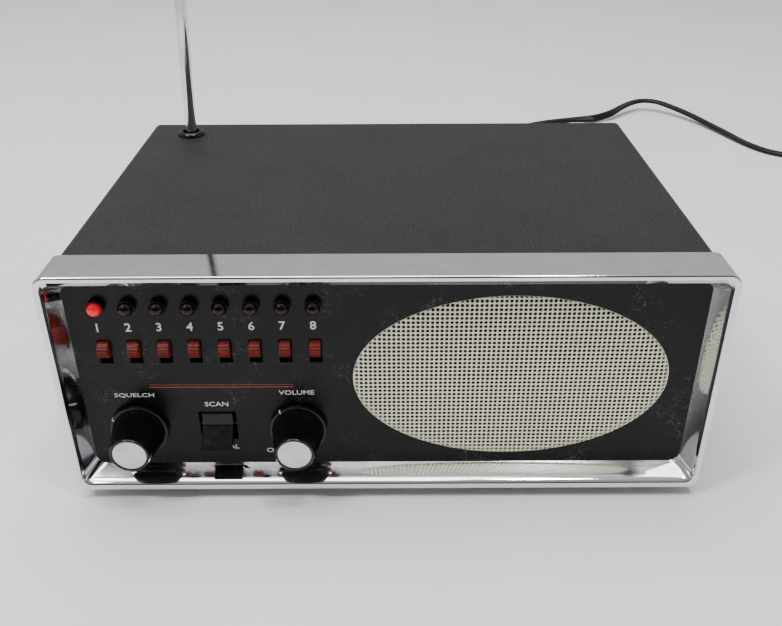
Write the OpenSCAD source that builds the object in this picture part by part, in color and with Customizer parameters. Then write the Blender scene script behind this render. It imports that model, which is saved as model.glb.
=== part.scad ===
// Eight-channel desk-top scanning receiver.
// Millimetres. +X right, +Y back, +Z up. The origin lies on the standing surface,
// under the middle of the set. The free mains cord is left out of that middle.

/* [Case] */
// Width of the chromed bezel, the widest piece
bezel_w = 275; // [264:1:330]
// Height of the bezel
bezel_h = 106.6; // [101:0.1:128]
// Depth of the bezel, from its front rim to its back edge
bezel_depth = 20.4; // [19:0.1:28]
// Corner radius of the bezel
bezel_r = 5.5; // [3:0.5:8]
// Depth of the case, from the front rim to the cover's back edge
case_depth = 189.7; // [175:0.1:235]
// How far the cover's sides stand in from the bezel's sides
cover_inset = 4; // [3:0.1:6]
// Thickness of the vinyl-clad cover sheet
cover_wall = 1.6; // [1.2:0.1:2]
// Corner radius of the cover's folds
cover_r = 3.4; // [2:0.1:4]
// Gap between the bezel's lower edge and the standing surface
foot_gap = 5; // [3:0.5:10]

/* [Front] */
// Width of the bezel's flat rim at each side
rim_side = 2.6; // [2:0.1:5]
// Width of the bezel's flat rim above
rim_top = 2; // [1:0.1:4]
// Width of the bezel's flat rim below
rim_low = 3.1; // [1:0.1:4]
// How far the panel's face lies behind the front rim
panel_recess = 9.8; // [7:0.1:12]
// Thickness of the front panel
panel_t = 1.5; // [1:0.1:2]
// Width of the oval speaker opening
grille_w = 134; // [108:1:140]
// Height of the oval speaker opening
grille_h = 80; // [60:1:82]
// Distance from the bezel's right side to the middle of the oval
grille_from_right = 85.3; // [83:0.1:100]

/* [Channels] */
// Number of channels
channels = 8; // [4:1:8]
// Distance from one channel to the next
channel_pitch = 12.5; // [11.5:0.1:12.8]
// Distance from the bezel's left side to the first channel
channel_from_left = 20.2; // [19:0.1:24]
// Diameter of a channel lamp
lamp_d = 6; // [5:0.1:7.2]
// Width of a channel slide's cap
slide_w = 4.4; // [3:0.1:5.3]
// Height of a channel slide's cap
slide_h = 7.2; // [6:0.1:9]
// Travel of a channel slide, from in use to locked out
slide_travel = 3; // [2:0.1:4]

/* [Controls] */
// Diameter of a control shaft
shaft_d = 6; // [5:0.1:7.2]
// Diameter of a knob's skirt
knob_skirt_d = 25; // [20:0.5:28]
// Diameter of a knob's front rim
knob_front_d = 16; // [14:0.1:20]
// Diameter of the aluminium disc on a knob's front
knob_cap_d = 14.4; // [12:0.1:15.6]
// How far the knobs stand in front of the rim
knob_reach = 10.1; // [7:0.1:14]
// Width of the rocker's paddle
rocker_w = 13.4; // [11:0.1:16]
// Height of the rocker's paddle
rocker_h = 13.3; // [11:0.1:16]

/* [Antenna] */
// Diameter of the antenna's outermost tube
ant_d = 6; // [5:0.1:7.2]
// Wall of each antenna tube
ant_wall = 0.35; // [0.3:0.05:0.4]
// Length of closed antenna above the cover
ant_shown = 105; // [80:1:126]
// Lean of the plugged-in antenna to the right, in degrees
ant_lean = 2; // [0:0.5:3]

/* [Mains cord] */
// Width of the flat twin cord
cord_w = 7.1; // [5:0.1:8]
// Thickness of the flat twin cord
cord_t = 3.6; // [3:0.1:4]

/* [Hidden] */
$fn = 64;

// Clearances
fit = 0.05;         // radial, a shaft or tube that turns or slides in a bore
gap = 0.3;          // between pieces that only pass each other
eps = 0.01;         // overshoot of a cut
free = 0.5;         // round a moving cap in its slot

// Lines of the case
rear_inset = 3;                                     // rear panel inside the cover's edge
rear_reach = 9;                                     // antenna jack behind the cover's edge
total_depth = knob_reach + case_depth + rear_reach;
face_y = knob_reach - total_depth / 2;              // front rim
back_y = face_y + case_depth;                       // cover's back edge
bezel_back = face_y + bezel_depth;
panel_y = face_y + panel_recess;                    // panel's front face
panel_back = panel_y + panel_t;
base_z = foot_gap;                                  // bezel's lower edge
top_z = base_z + bezel_h;
mid_z = base_z + bezel_h / 2;
left_x = -bezel_w / 2;
right_x = bezel_w / 2;

// Bezel
rim_chamfer = 0.9;
rim_r = 4;
lip_side = 7;                                       // bezel side to the panel's visible edge
lip_top = 7.65;
lip_r = 4.5;
pocket_side = 3.5;                                  // bezel wall beside the panel
pocket_top = 5;
pocket_r = 2.5;
boss_r = 4;
boss_web = 4;                                       // thickness of the web from boss to side
boss_in = 13.5;                                     // boss axis from the bezel's side
boss_up = 9;                                        // boss axis from the bezel's lower edge
screw_r = 1.5;
boss_bore_depth = 8;

// Cover, tray and rear panel
cover_drop = 0.3;                                   // cover's top below the bezel's top
cover_lift = 0.6;                                   // cover's underside above the bezel's
cover_w = bezel_w - 2 * cover_inset;
cover_top = top_z - cover_drop;
cover_bottom = base_z + cover_lift;
cover_h = cover_top - cover_bottom;
cover_lip = 16;                                     // width of each folded lower lip
inner_x = cover_w / 2 - cover_wall;
tray_t = 1.2;
tray_z = cover_bottom + cover_wall;
tray_top = tray_z + tray_t;
tray_x = inner_x - cover_r + cover_wall;            // clear of the cover's inner folds
tray_strip_h = 10;
tray_ear_w = 14;
tray_side_h = 12;
rear_out = back_y - rear_inset;                     // rear panel's outer face
rear_in = rear_out - tray_t;
inner_top = cover_top - cover_wall;
cover_screw_inset = 8;                              // screw axis from the cover's side
cover_screw_end = 26;                               // screw axis from the cover's ends
screw_head_r = 2.8;
screw_head_h = 1.6;
cross_w = 0.6;                                      // cross slot of a screw head
cross_l = 1.3;                                      // its length in head radii
foot_r = 7;
foot_stem_r = 2;
foot_barb = 1;                                      // barb round the stem, above the tray
foot_barb_h = 2;
foot_taper = 1;
foot_in_x = 32;                                     // foot axis from the cover's side
foot_in_y = 25;                                     // foot axis from bezel back and rear

// Channels
lamp_z = top_z - 17.8;
slide_z = top_z - 38.3;
lamp_proud = 5.9;
collar_wall = 0.45;
collar_proud = 3;
collar_depth = 3;
collar_flange = 0.6;                                // flange beyond the collar, behind the panel
lens_flange = 0.4;                                  // lens base beyond the collar
slide_proud = 4;
slide_depth = 4;                                    // carriage behind the panel
slide_ribs = 6;
rib_depth = 0.4;
switch_wall = 1.2;
switch_depth = 6.6;
carriage_t = 1.6;
carriage_side = 1;
board_t = 1.6;
channel_board_y = panel_back + switch_depth;
channel_board_top = 13.3;                           // board's upper edge below the bezel's top
channel_board_h = 37.5;
channel_board_side = 5;                             // board beyond the end channels' axes

// Pots and knobs
knob_z = base_z + 27.7;
squelch_x = left_x + 29.2;
volume_x = squelch_x + 69.2;
bushing_r = shaft_d / 2 + 1.7;
bushing_proud = 6.5;
pot_r = 12;
pot_depth = 8.6;                                     // clear of the tray's ears
pot_switch_depth = 9;
nut_af = 12.7;
nut_t = 2.4;
shaft_in = 7;                                       // shaft inside the pot
shaft_out = 15;                                     // shaft in front of the panel
knob_gap = 0.8;                                     // skirt behind face to panel
knob_skirt_t = 2.4;
knob_body_d = 22.4;
knob_hollow_r = 8.2;
knob_hollow_depth = 7;
knob_cap_t = 1;
knob_rim_proud = 0.3;
knob_face_y = face_y - knob_reach;

// Rocker, stored with its upper half pressed in
rocker_x = squelch_x + 34.2;
rocker_z = base_z + 28.35;
rocker_pivot_in = 3;                                // pivot behind the panel's face
rocker_top_out = 0.4;                               // upper end before the panel's face
rocker_valley_out = 1;                              // line between the two halves
rocker_valley_up = 1;                               // that line above the pivot
rocker_tip_out = 10;                                // lower end before the panel's face
rocker_slot_side = 1.4;
rocker_slot_end = 0.8;
rocker_wall = 1.3;
rocker_depth = 14;
rocker_back = 5;                                    // paddle behind its pivot
trunnion_r = 1.5;

// Speaker
speaker_x = right_x - grille_from_right;
speaker_z = base_z + 52.8;
grille_a = grille_w / 2;
grille_b = grille_h / 2;
grille_t = 0.8;
grille_flange = 3;
grille_play = 0.25;
grille_proud = 0.6;
oval_points = 96;
basket_points = 32;
frame_t = 1.2;
frame_rim_side = 4;                                 // frame beyond the oval, at its ends
frame_rim_top = 3;                                  // and above and below it
frame_hole_rim = 1.5;
basket_depth = 24;
basket_r = 24;
basket_wall = 1;
window_at = 0.44;                                   // basket windows, parts of the oval's
window_half_w = 0.19;                               // half width and half height
window_half_h = 0.28;
window_front = 4;                                   // window behind the frame's flange
window_back = 6;                                    // window before the basket's end
roll_w = 4.2;                                       // cone's outer roll
roll_t = 0.8;
gasket_w = 5.2;
cone_t = 1;
cone_short = 6;                                     // cone's end before the basket's end
cone_neck_r = 12;
coil_former_r = 9;
top_plate_t = 3;
magnet_r = 24;
magnet_t = 11;
yoke_r = 20;
yoke_t = 5;
pole_r = 10;
stud_x = grille_a - 17;
stud_z = grille_b - 5;
ear_r = 6;
stud_r = 1.5;
stud_nut_af = 5.5;
stud_nut_t = 2.4;
frame_y = panel_back + grille_t;

// Main board
board_z = tray_top + 6;
board_left = left_x + 15;
board_w = 166;
board_front = bezel_back + 14;
board_back = rear_in - 6;
standoff_r = 3;
standoff_in = 6;
board_top = board_z + board_t;
crystal_pitch = 13.8;
crystal_y = board_front + 32;
crystal_x = board_left + 16;
crystal_w = 11;
crystal_t = 4.6;
crystal_h = 13;
socket_h = 4;
socket_rim = 0.8;
cans = 6;
can_size = 10;
can_h = 13;
can_pitch = 20;
can_x = board_left + 26;
can_y = board_back - 42;
core_hole_r = 2;                                    // tuning core's hole in a can
core_hole_depth = 4;
chips = 5;
chip_l = 19.5;
chip_w = 6.6;
chip_h = 3.6;
chip_pitch = 26;
chip_x = board_left + 18;
chip_y = crystal_y + 20;
small_cap_r = 4;
small_cap_h = 12;
small_cap_pitch = 19;
small_cap_x = board_left + 52;
small_cap_y = board_back - 18;
filter_size = [26, 10, 8];
filter_at = [board_left + 20, crystal_y - 20, board_top];
sink_x = board_left + board_w - 30;
sink_y = board_back - 34;
sink_w = 24;
sink_h = 26;
sink_t = 3;
fins = 5;
fin_t = 2;
fin_d = 10;
fin_pitch = 5.5;
tab_size = [10, 4, 14];                             // power transistor on the heat sink
tab_in = 7;
tab_up = 8;

// Power supply, on the tray's right
power_x = right_x - 53;
core_w = 50;
core_h = 42;
core_d = 20;
core_leg = 16;
core_yoke = 8;
core_y = rear_in - 38;
winding_out = 9;
core_window = [(core_w - core_leg) / 2 - core_yoke, core_h - 2 * core_yoke];
capacitor_rim = 3;
capacitor_rim_t = 1.5;
capacitor_r = 12.5;
capacitor_h = 46;
capacitor_y = core_y - 44;

// Antenna
ant_x = left_x + 28.7;
ant_y = back_y - 17.5;
ant_hole_r = ant_d / 2 + 1.6;
grommet_wall = 1.2;
grommet_rim = 1.5;
grommet_proud = 2.4;
grommet_round = 0.6;                                // steps of its rounded upper edge
socket_top = cover_top - 22;
socket_depth = 20;
socket_floor = 3;
socket_r = ant_d / 2 + 3;
bracket_t = 3;
bracket_half_w = 8;
ant_base = socket_top - socket_depth;
ant_length = cover_top - ant_base + ant_shown;
ant_step = 3;                                       // each tube above the next one out
ant_lift = 2;                                       // each tube's foot above the next one's
ant_tip_r = 2.8;
ant_tip_h = 6;

// Rear fittings
jack_x = left_x + 71;
jack_z = base_z + 62;
jack_r = 7.9;
jack_bore_r = 2.1;
jack_neck_r = 6.5;
jack_plate = 24;
jack_plate_t = 1.6;
jack_depth = 7;                                     // neck behind the rear panel
jack_shell = 1.2;                                   // wall round the jack's mouth
jack_mouth = 6;                                     // depth of the mouth
jack_centre_wall = 1;
ear_jack_x = jack_x + 34;
ear_jack_r = 1.8;
ear_jack_barrel_r = 3.9;
ear_jack_nut_r = 5.5;
ear_jack_proud = 2.4;
ear_jack_nut_t = 1.8;
ear_jack_depth = 12;
fuse_x = right_x - 89;
fuse_z = base_z + 44;
fuse_r = 6;
fuse_cap_r = 7.5;
fuse_cap_h = 6;
fuse_depth = 26;
vent_slots = 9;
vent_pitch = 7;
vent_w = 2.6;
vent_h = 22;
vent_x = left_x + 151;
vent_z = top_z - 38;
rear_screw_in = 7;                                  // screw axis from the tray's side
rear_screw_up = 4.5;                                // and above the tray
rear_flange_h = 8;

// Free mains cord, flat twin, laid on the standing surface
relief_r = 6.6;
relief_end_r = 4.4;
relief_head_r = 8.5;
relief_head_t = 2.5;
relief_inside = 8;
cord_exit = [96, rear_out + 24.6, 24];
// From the strain relief, down to the surface, back, and round to the right
CORD_ROUTE = [
    cord_exit, [96, 134, 22], [96, 152, 13], [96, 172, 4.5], [96, 195, 2], [95, 225, 2],
    [92, 260, 2], [89, 295, 2], [87, 330, 2], [88, 362, 2], [95, 392, 2], [112, 415, 2],
    [136, 431, 2], [160, 443, 2], [184, 450, 2], [204, 448, 4], [220, 455, 6], [235, 470, 8],
    [248, 482, 9], [261, 486, 10], [274, 481, 10], [287, 468, 8], [299, 450, 6],
    [309, 430, 4], [318, 406, 3], [326, 383, 2], [334, 364, 2], [344, 351, 2],
    [358, 343, 2], [378, 338, 2], [400, 337.3, 2]
];
cord_sides = 8;
cord_steps = 2;                                     // rings from one route point to the next
coil_at = [400, 291];
coil_r = 39;                                        // at the middle of the turns
coil_half = 10.9;
coil_h = 8;
plug_x = coil_at[0] + 46.3;
plug_back_y = coil_at[1] - 17;
plug_relief_l = 16;
plug_relief_r = 4;
plug_relief_big_r = 5.5;
plug_l = 24;
plug_w = 24;
plug_h = 13;
plug_nose_w = 20;
plug_shoulder = 8;
blade_l = 17.5;
blade_w = 6.35;
blade_t = 1.5;
blade_pitch = 12.7;
blade_root = 5;

// ---- helpers ----

module slab(w, h, r) {
    union() {
        square([w - 2 * r, h], center = true);
        square([w, h - 2 * r], center = true);
        for (sx = [-1, 1], sz = [-1, 1])
            translate([sx * (w / 2 - r), sz * (h / 2 - r)])
                circle(r);
    }
}

// An upright plate with round corners, from y0 to y1, centred on x and z
module plate(w, h, r, y0, y1, x = 0, z = mid_z) {
    translate([x, y1, z])
        rotate([90, 0, 0])
            linear_extrude(y1 - y0)
                slab(w, h, r);
}

// A box from its low corner to its high corner
module span(low, high) {
    translate(low)
        cube(high - low);
}

// A cylinder along Y from y0 to y1
module rod(r, y0, y1, x, z) {
    translate([x, y1, z])
        rotate([90, 0, 0])
            cylinder(h = y1 - y0, r = r);
}

// A hexagon along Y, af across its flats
module hex(af, y0, y1, x, z) {
    translate([x, y1, z])
        rotate([90, 0, 0])
            cylinder(h = y1 - y0, d = af / cos(30), $fn = 6);
}

function oval(a, b, n) = [for (i = [0 : n - 1]) [a * cos(360 * i / n), b * sin(360 * i / n)]];

// An oval plate at the speaker, from y0 to y1
module oval_plate(a, b, y0, y1, n = oval_points) {
    translate([speaker_x, y1, speaker_z])
        rotate([90, 0, 0])
            linear_extrude(y1 - y0)
                polygon(oval(a, b, n));
}

function channel_x(i) = left_x + channel_from_left + i * channel_pitch;

module at_bosses() {
    for (x = [left_x + boss_in, right_x - boss_in], z = [base_z + boss_up, top_z - boss_up])
        translate([x, 0, z])
            children();
}

// ---- case ----

module bezel() {
    color("gainsboro")
    difference() {
        union() {
            difference() {
                hull() {
                    plate(bezel_w - 2 * rim_chamfer, bezel_h - 2 * rim_chamfer,
                          bezel_r - rim_chamfer, face_y, bezel_back);
                    plate(bezel_w, bezel_h, bezel_r, face_y + rim_chamfer, bezel_back);
                }
                hull() {
                    plate(bezel_w - 2 * rim_side, bezel_h - rim_top - rim_low, rim_r,
                          face_y - eps, face_y, 0, mid_z + (rim_low - rim_top) / 2);
                    plate(bezel_w - 2 * lip_side, bezel_h - 2 * lip_top, lip_r,
                          face_y, panel_y + eps);
                }
                plate(bezel_w - 2 * pocket_side, bezel_h - 2 * pocket_top, pocket_r,
                      panel_y, bezel_back + eps);
            }
            at_bosses()
                rod(boss_r, panel_back, bezel_back, 0, 0);
            for (sx = [-1, 1], z = [base_z + boss_up, top_z - boss_up])
                translate([sx * (bezel_w / 2 - (boss_in + pocket_side) / 2),
                           (panel_back + bezel_back) / 2, z])
                    cube([boss_in - pocket_side + 1, bezel_back - panel_back, boss_web],
                         center = true);
        }
        at_bosses()
            rod(screw_r, bezel_back - boss_bore_depth, bezel_back + eps, 0, 0);
    }
}

module front_panel() {
    panel_w = bezel_w - 2 * (pocket_side + gap);
    panel_h = bezel_h - 2 * (pocket_top + gap);
    color("#1b1c1c")
    difference() {
        plate(panel_w, panel_h, pocket_r, panel_y, panel_back);
        oval_plate(grille_a, grille_b, panel_y - eps, panel_back + eps);
        for (i = [0 : channels - 1]) {
            rod(lamp_d / 2 + collar_wall, panel_y - eps, panel_back + eps, channel_x(i), lamp_z);
            slide_slot(channel_x(i));
        }
        for (x = [squelch_x, volume_x])
            rod(bushing_r + fit, panel_y - eps, panel_back + eps, x, knob_z);
        rocker_opening(panel_y - eps, panel_back + eps);
    }
}

module slide_slot(x) {
    span([x - slide_w / 2 - free, panel_y - eps, slide_z - slide_h / 2 - slide_travel - free],
         [x + slide_w / 2 + free, panel_back + eps, slide_z + slide_h / 2 + free]);
}

module rocker_opening(y0, y1) {
    half_w = rocker_w / 2 + rocker_slot_side;
    half_h = rocker_h / 2 + rocker_slot_end;
    span([rocker_x - half_w, y0, rocker_z - half_h], [rocker_x + half_w, y1, rocker_z + half_h]);
}

module speaker_grille() {
    a = grille_a - grille_play;
    b = grille_b - grille_play;
    color("#e4e2cc")
    difference() {
        union() {
            oval_plate(grille_a + grille_flange, grille_b + grille_flange, panel_back, frame_y);
            oval_plate(a, b, panel_y - grille_proud, panel_back + eps);
        }
        oval_plate(a - grille_t, b - grille_t, panel_y - grille_proud + grille_t, frame_y + eps);
    }
}

module cabinet_cover() {
    color("#26282a")
    difference() {
        translate([0, back_y, (cover_top + cover_bottom) / 2])
            rotate([90, 0, 0])
                linear_extrude(back_y - bezel_back)
                    difference() {
                        slab(cover_w, cover_h, cover_r);
                        slab(cover_w - 2 * cover_wall, cover_h - 2 * cover_wall,
                             cover_r - cover_wall);
                        translate([0, -cover_h / 2])
                            square([cover_w - 2 * cover_lip, 4 * cover_wall], center = true);
                    }
        translate([ant_x, ant_y, cover_top])
            cylinder(r = ant_hole_r + grommet_wall, h = 4 * cover_wall, center = true);
        cover_screw_places()
            translate([0, 0, cover_bottom - eps])
                cylinder(r = screw_r + fit, h = cover_wall + 2 * eps);
    }
}

module cover_screw_places() {
    for (sx = [-1, 1], y = [bezel_back + cover_screw_end, back_y - cover_screw_end])
        translate([sx * (cover_w / 2 - cover_screw_inset), y, 0])
            children();
}

module foot_places() {
    for (sx = [-1, 1], y = [bezel_back + foot_in_y, back_y - foot_in_y])
        translate([sx * (cover_w / 2 - foot_in_x), y, 0])
            children();
}

module standoff_places() {
    for (x = [board_left + standoff_in, board_left + board_w - standoff_in],
         y = [board_front + standoff_in, board_back - standoff_in])
        translate([x, y, 0])
            children();
}

module chassis_tray() {
    color("#b9bbb8")
    difference() {
        union() {
            span([-tray_x, bezel_back, tray_z], [tray_x, rear_out, tray_top]);
            span([-tray_x, bezel_back, tray_z],
                 [tray_x, bezel_back + tray_t, tray_z + tray_strip_h]);
            for (sx = [-1, 1]) {
                span([sx * (tray_x - tray_ear_w / 2) - tray_ear_w / 2, bezel_back, tray_z],
                     [sx * (tray_x - tray_ear_w / 2) + tray_ear_w / 2, bezel_back + tray_t,
                      inner_top - gap]);
                span([sx * (tray_x - tray_t / 2) - tray_t / 2, bezel_back, tray_z],
                     [sx * (tray_x - tray_t / 2) + tray_t / 2, rear_in, tray_z + tray_side_h]);
            }
            span([-tray_x, rear_in - tray_t, tray_z], [tray_x, rear_in, tray_top + rear_flange_h]);
        }
        at_bosses()
            rod(screw_r + fit, bezel_back - eps, bezel_back + tray_t + eps, 0, 0);
        cover_screw_places()
            translate([0, 0, tray_z - eps])
                cylinder(r = screw_r, h = tray_t + 2 * eps);
        foot_places()
            translate([0, 0, tray_z - eps])
                cylinder(r = foot_stem_r, h = tray_t + 2 * eps);
        standoff_places()
            translate([0, 0, tray_z - eps])
                cylinder(r = screw_r, h = tray_t + 2 * eps);
        rear_screw_places()
            rod(screw_r, rear_in - tray_t - eps, rear_in + eps, 0, 0);
    }
}

module rear_screw_places() {
    for (sx = [-1, 1])
        translate([sx * (tray_x - rear_screw_in), 0, tray_top + rear_screw_up])
            children();
}

module rear_panel() {
    color("#9fa19f")
    difference() {
        span([-tray_x, rear_in, tray_top], [tray_x, rear_out, inner_top - gap]);
        rod(jack_neck_r + fit, rear_in - eps, rear_out + eps, jack_x, jack_z);
        rod(ear_jack_barrel_r + fit, rear_in - eps, rear_out + eps, ear_jack_x, jack_z);
        rod(fuse_r + fit, rear_in - eps, rear_out + eps, fuse_x, fuse_z);
        rod(relief_r, rear_in - eps, rear_out + eps, cord_exit[0], cord_exit[2]);
        rear_screw_places()
            rod(screw_r + fit, rear_in - eps, rear_out + eps, 0, 0);
        for (i = [0 : vent_slots - 1])
            plate(vent_w, vent_h, vent_w / 2 - eps, rear_in - eps, rear_out + eps,
                  vent_x + i * vent_pitch, vent_z);
    }
}

module rubber_feet() {
    color("#202020")
    foot_places()
        union() {
            cylinder(r1 = foot_r - foot_taper, r2 = foot_r, h = tray_z);
            cylinder(r = foot_stem_r, h = tray_top);
            translate([0, 0, tray_top])
                cylinder(r1 = foot_stem_r + foot_barb, r2 = foot_stem_r, h = foot_barb_h);
        }
}

module pan_screw(length) {
    union() {
        difference() {
            translate([0, 0, -screw_head_h])
                cylinder(r = screw_head_r, h = screw_head_h);
            for (turn = [0, 90])
                rotate([0, 0, turn])
                    translate([0, 0, -screw_head_h])
                        cube([screw_head_r * cross_l, cross_w, screw_head_h], center = true);
        }
        cylinder(r = screw_r, h = length);
    }
}

module case_screws() {
    color("silver") {
        cover_screw_places()
            translate([0, 0, cover_bottom])
                pan_screw(cover_wall + tray_t + 2);
        standoff_places()
            translate([0, 0, board_top])
                mirror([0, 0, 1])
                    pan_screw(board_t + 4);
        rear_screw_places()
            translate([0, rear_out, 0])
                rotate([90, 0, 0])
                    pan_screw(2 * tray_t + 3);
        at_bosses()
            translate([0, bezel_back + tray_t, 0])
                rotate([90, 0, 0])
                    pan_screw(tray_t + boss_bore_depth - 1);
    }
}

// ---- speaker ----

module speaker_frame() {
    y0 = frame_y;
    y1 = frame_y + frame_t;
    y2 = y1 + basket_depth;
    inner_a = grille_a - frame_hole_rim;
    inner_b = grille_b - frame_hole_rim;
    color("#8d8f90")
    difference() {
        union() {
            oval_plate(grille_a + frame_rim_side, grille_b + frame_rim_top, y0, y1);
            for (sx = [-1, 1], sz = [-1, 1])
                rod(ear_r, y0, y1, speaker_x + sx * stud_x, speaker_z + sz * stud_z);
            hull() {
                oval_plate(grille_a, grille_b, y1 - eps, y1, basket_points);
                oval_plate(basket_r, basket_r, y2 - basket_wall, y2, basket_points);
            }
        }
        hull() {
            oval_plate(inner_a, inner_b, y0 - eps, y1, basket_points);
            oval_plate(basket_r - 2 * basket_wall, basket_r - 2 * basket_wall,
                       y2 - 2 * basket_wall, y2 - basket_wall, basket_points);
        }
        for (sx = [-1, 1], sz = [-1, 1])
            rod(stud_r + fit, y0 - eps, y1 + eps, speaker_x + sx * stud_x,
                speaker_z + sz * stud_z);
        for (sx = [-1, 1], sz = [-1, 1])
            span([speaker_x + grille_a * (sx * window_at - window_half_w), y1 + window_front,
                  speaker_z + grille_b * (sz * window_at - window_half_h)],
                 [speaker_x + grille_a * (sx * window_at + window_half_w), y2 - window_back,
                  speaker_z + grille_b * (sz * window_at + window_half_h)]);
        rod(pole_r, y2 - 2 * basket_wall, y2 + eps, speaker_x, speaker_z);
    }
}

module speaker_cone() {
    y0 = frame_y + frame_t;
    y2 = y0 + basket_depth - cone_short;
    a = grille_a - frame_hole_rim;
    b = grille_b - frame_hole_rim;
    bore_r = cone_neck_r - cone_t;
    color("#2d2a26")
    union() {
        difference() {
            oval_plate(a, b, y0 - roll_t, y0, basket_points);
            oval_plate(a - gasket_w, b - gasket_w, y0 - 2 * roll_t, y0 + eps, basket_points);
        }
        difference() {
            hull() {
                oval_plate(a - roll_w, b - roll_w, y0, y0 + cone_t, basket_points);
                oval_plate(cone_neck_r, cone_neck_r, y2 - cone_t, y2, basket_points);
            }
            hull() {
                oval_plate(a - gasket_w, b - gasket_w, y0 - eps, y0, basket_points);
                oval_plate(bore_r, bore_r, y2 - 3 * cone_t, y2 - cone_t, basket_points);
            }
        }
        rod(coil_former_r, y2 - eps, y0 + basket_depth + 2, speaker_x, speaker_z);
    }
}

module speaker_magnet() {
    y2 = frame_y + frame_t + basket_depth;
    y3 = y2 + top_plate_t;
    color("#55585a")
    difference() {
        union() {
            rod(yoke_r, y2, y3, speaker_x, speaker_z);
            rod(magnet_r, y3, y3 + magnet_t, speaker_x, speaker_z);
            rod(yoke_r, y3 + magnet_t, y3 + magnet_t + yoke_t, speaker_x, speaker_z);
        }
        rod(pole_r, y2 - eps, y3 + magnet_t, speaker_x, speaker_z);
    }
}

// Welded studs with their nuts behind the speaker, and the pots' nuts in front of the panel
module panel_fasteners() {
    stud_end = frame_y + frame_t + stud_nut_t + 2;
    color("#a9a9a4") {
        for (sx = [-1, 1], sz = [-1, 1])
            union() {
                rod(stud_r, panel_back, stud_end, speaker_x + sx * stud_x,
                    speaker_z + sz * stud_z);
                hex(stud_nut_af, frame_y + frame_t, frame_y + frame_t + stud_nut_t,
                    speaker_x + sx * stud_x, speaker_z + sz * stud_z);
            }
        for (x = [squelch_x, volume_x])
            difference() {
                hex(nut_af, panel_y - nut_t, panel_y, x, knob_z);
                rod(bushing_r, panel_y - nut_t - eps, panel_y + eps, x, knob_z);
            }
    }
}

// ---- main board ----

module main_board() {
    color("#6d7a3c")
    difference() {
        span([board_left, board_front, board_z], [board_left + board_w, board_back, board_top]);
        standoff_places()
            translate([0, 0, board_z - eps])
                cylinder(r = screw_r + fit, h = board_t + 2 * eps);
    }
}

module board_standoffs() {
    color("#c9b458")
    standoff_places()
        translate([0, 0, tray_top])
            difference() {
                cylinder(r = standoff_r, h = board_z - tray_top);
                translate([0, 0, -eps])
                    cylinder(r = screw_r, h = board_z - tray_top + 2 * eps);
            }
}

module crystal_places() {
    for (i = [0 : channels - 1])
        translate([crystal_x + i * crystal_pitch, crystal_y, board_top])
            children();
}

module crystal_sockets() {
    color("#3a3a38")
    crystal_places()
        translate([0, 0, socket_h / 2])
            cube([crystal_w + 2 * socket_rim, crystal_t + 2 * socket_rim, socket_h],
                 center = true);
}

module crystals() {
    color("#d5d3c8")
    crystal_places()
        translate([0, 0, socket_h])
            linear_extrude(crystal_h)
                slab(crystal_w, crystal_t, crystal_t / 2 - eps);
}

module if_cans() {
    color("#c6c8c4")
    for (i = [0 : cans - 1])
        translate([can_x + i * can_pitch, can_y, board_top])
            difference() {
                translate([-can_size / 2, -can_size / 2, 0])
                    cube([can_size, can_size, can_h]);
                translate([0, 0, can_h - core_hole_depth])
                    cylinder(r = core_hole_r, h = core_hole_depth + eps);
            }
}

// Ceramic-cased logic chips, electrolytic capacitors and a ceramic filter
module board_parts() {
    color("#3b3c40") {
        for (i = [0 : chips - 1]) {
            translate([chip_x + i * chip_pitch, chip_y, board_top])
                cube([chip_l, chip_w, chip_h]);
            translate([small_cap_x + i * small_cap_pitch, small_cap_y, board_top])
                cylinder(r = small_cap_r, h = small_cap_h);
        }
        translate(filter_at)
            cube(filter_size);
    }
}

module heat_sink() {
    color("#8f9294")
    union() {
        translate([sink_x, sink_y, board_top])
            cube([sink_w, sink_t, sink_h]);
        for (i = [0 : fins - 1])
            translate([sink_x + i * fin_pitch, sink_y + sink_t - eps, board_top])
                cube([fin_t, fin_d, sink_h]);
        translate([sink_x + tab_in, sink_y - tab_size[1], board_top + tab_up])
            cube(tab_size + [0, eps, 0]);
    }
}

// ---- power supply ----

module transformer_core() {
    color("#75716a")
    difference() {
        span([power_x - core_w / 2, core_y - core_d / 2, tray_top],
             [power_x + core_w / 2, core_y + core_d / 2, tray_top + core_h]);
        for (sx = [-1, 1])
            translate([power_x + sx * (core_leg + core_window[0]) / 2, core_y,
                       tray_top + core_h / 2])
                cube([core_window[0], core_d + 2 * eps, core_window[1]], center = true);
    }
}

module transformer_winding() {
    color("#c8962e")
    translate([power_x, core_y, tray_top + core_h / 2])
        difference() {
            cube([core_leg + 2 * core_window[0] - 2 * gap, core_d + 2 * winding_out,
                  core_window[1] - 2 * gap], center = true);
            cube([core_leg, core_d, core_window[1]], center = true);
        }
}

module filter_capacitor() {
    color("#4a5f8a")
    translate([power_x, capacitor_y, tray_top])
        union() {
            cylinder(r = capacitor_r, h = capacitor_h);
            cylinder(r = capacitor_r + capacitor_rim, h = capacitor_rim_t);
        }
}

// ---- channel lamps and slides ----

module channel_board() {
    color("#6d7a3c")
    span([channel_x(0) - channel_board_side, channel_board_y, top_z - channel_board_top
          - channel_board_h],
         [channel_x(channels - 1) + channel_board_side, channel_board_y + board_t,
          top_z - channel_board_top]);
}

module lamp_collars() {
    r = lamp_d / 2;
    color("#111111")
    for (i = [0 : channels - 1])
        difference() {
            union() {
                rod(r + collar_wall, panel_y - collar_proud, panel_back + eps, channel_x(i),
                    lamp_z);
                rod(r + 2 * collar_wall + collar_flange, panel_back, panel_back + collar_depth,
                    channel_x(i), lamp_z);
            }
            rod(r + fit, panel_y - collar_proud - eps, panel_back + collar_depth + eps,
                channel_x(i), lamp_z);
        }
}

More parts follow.
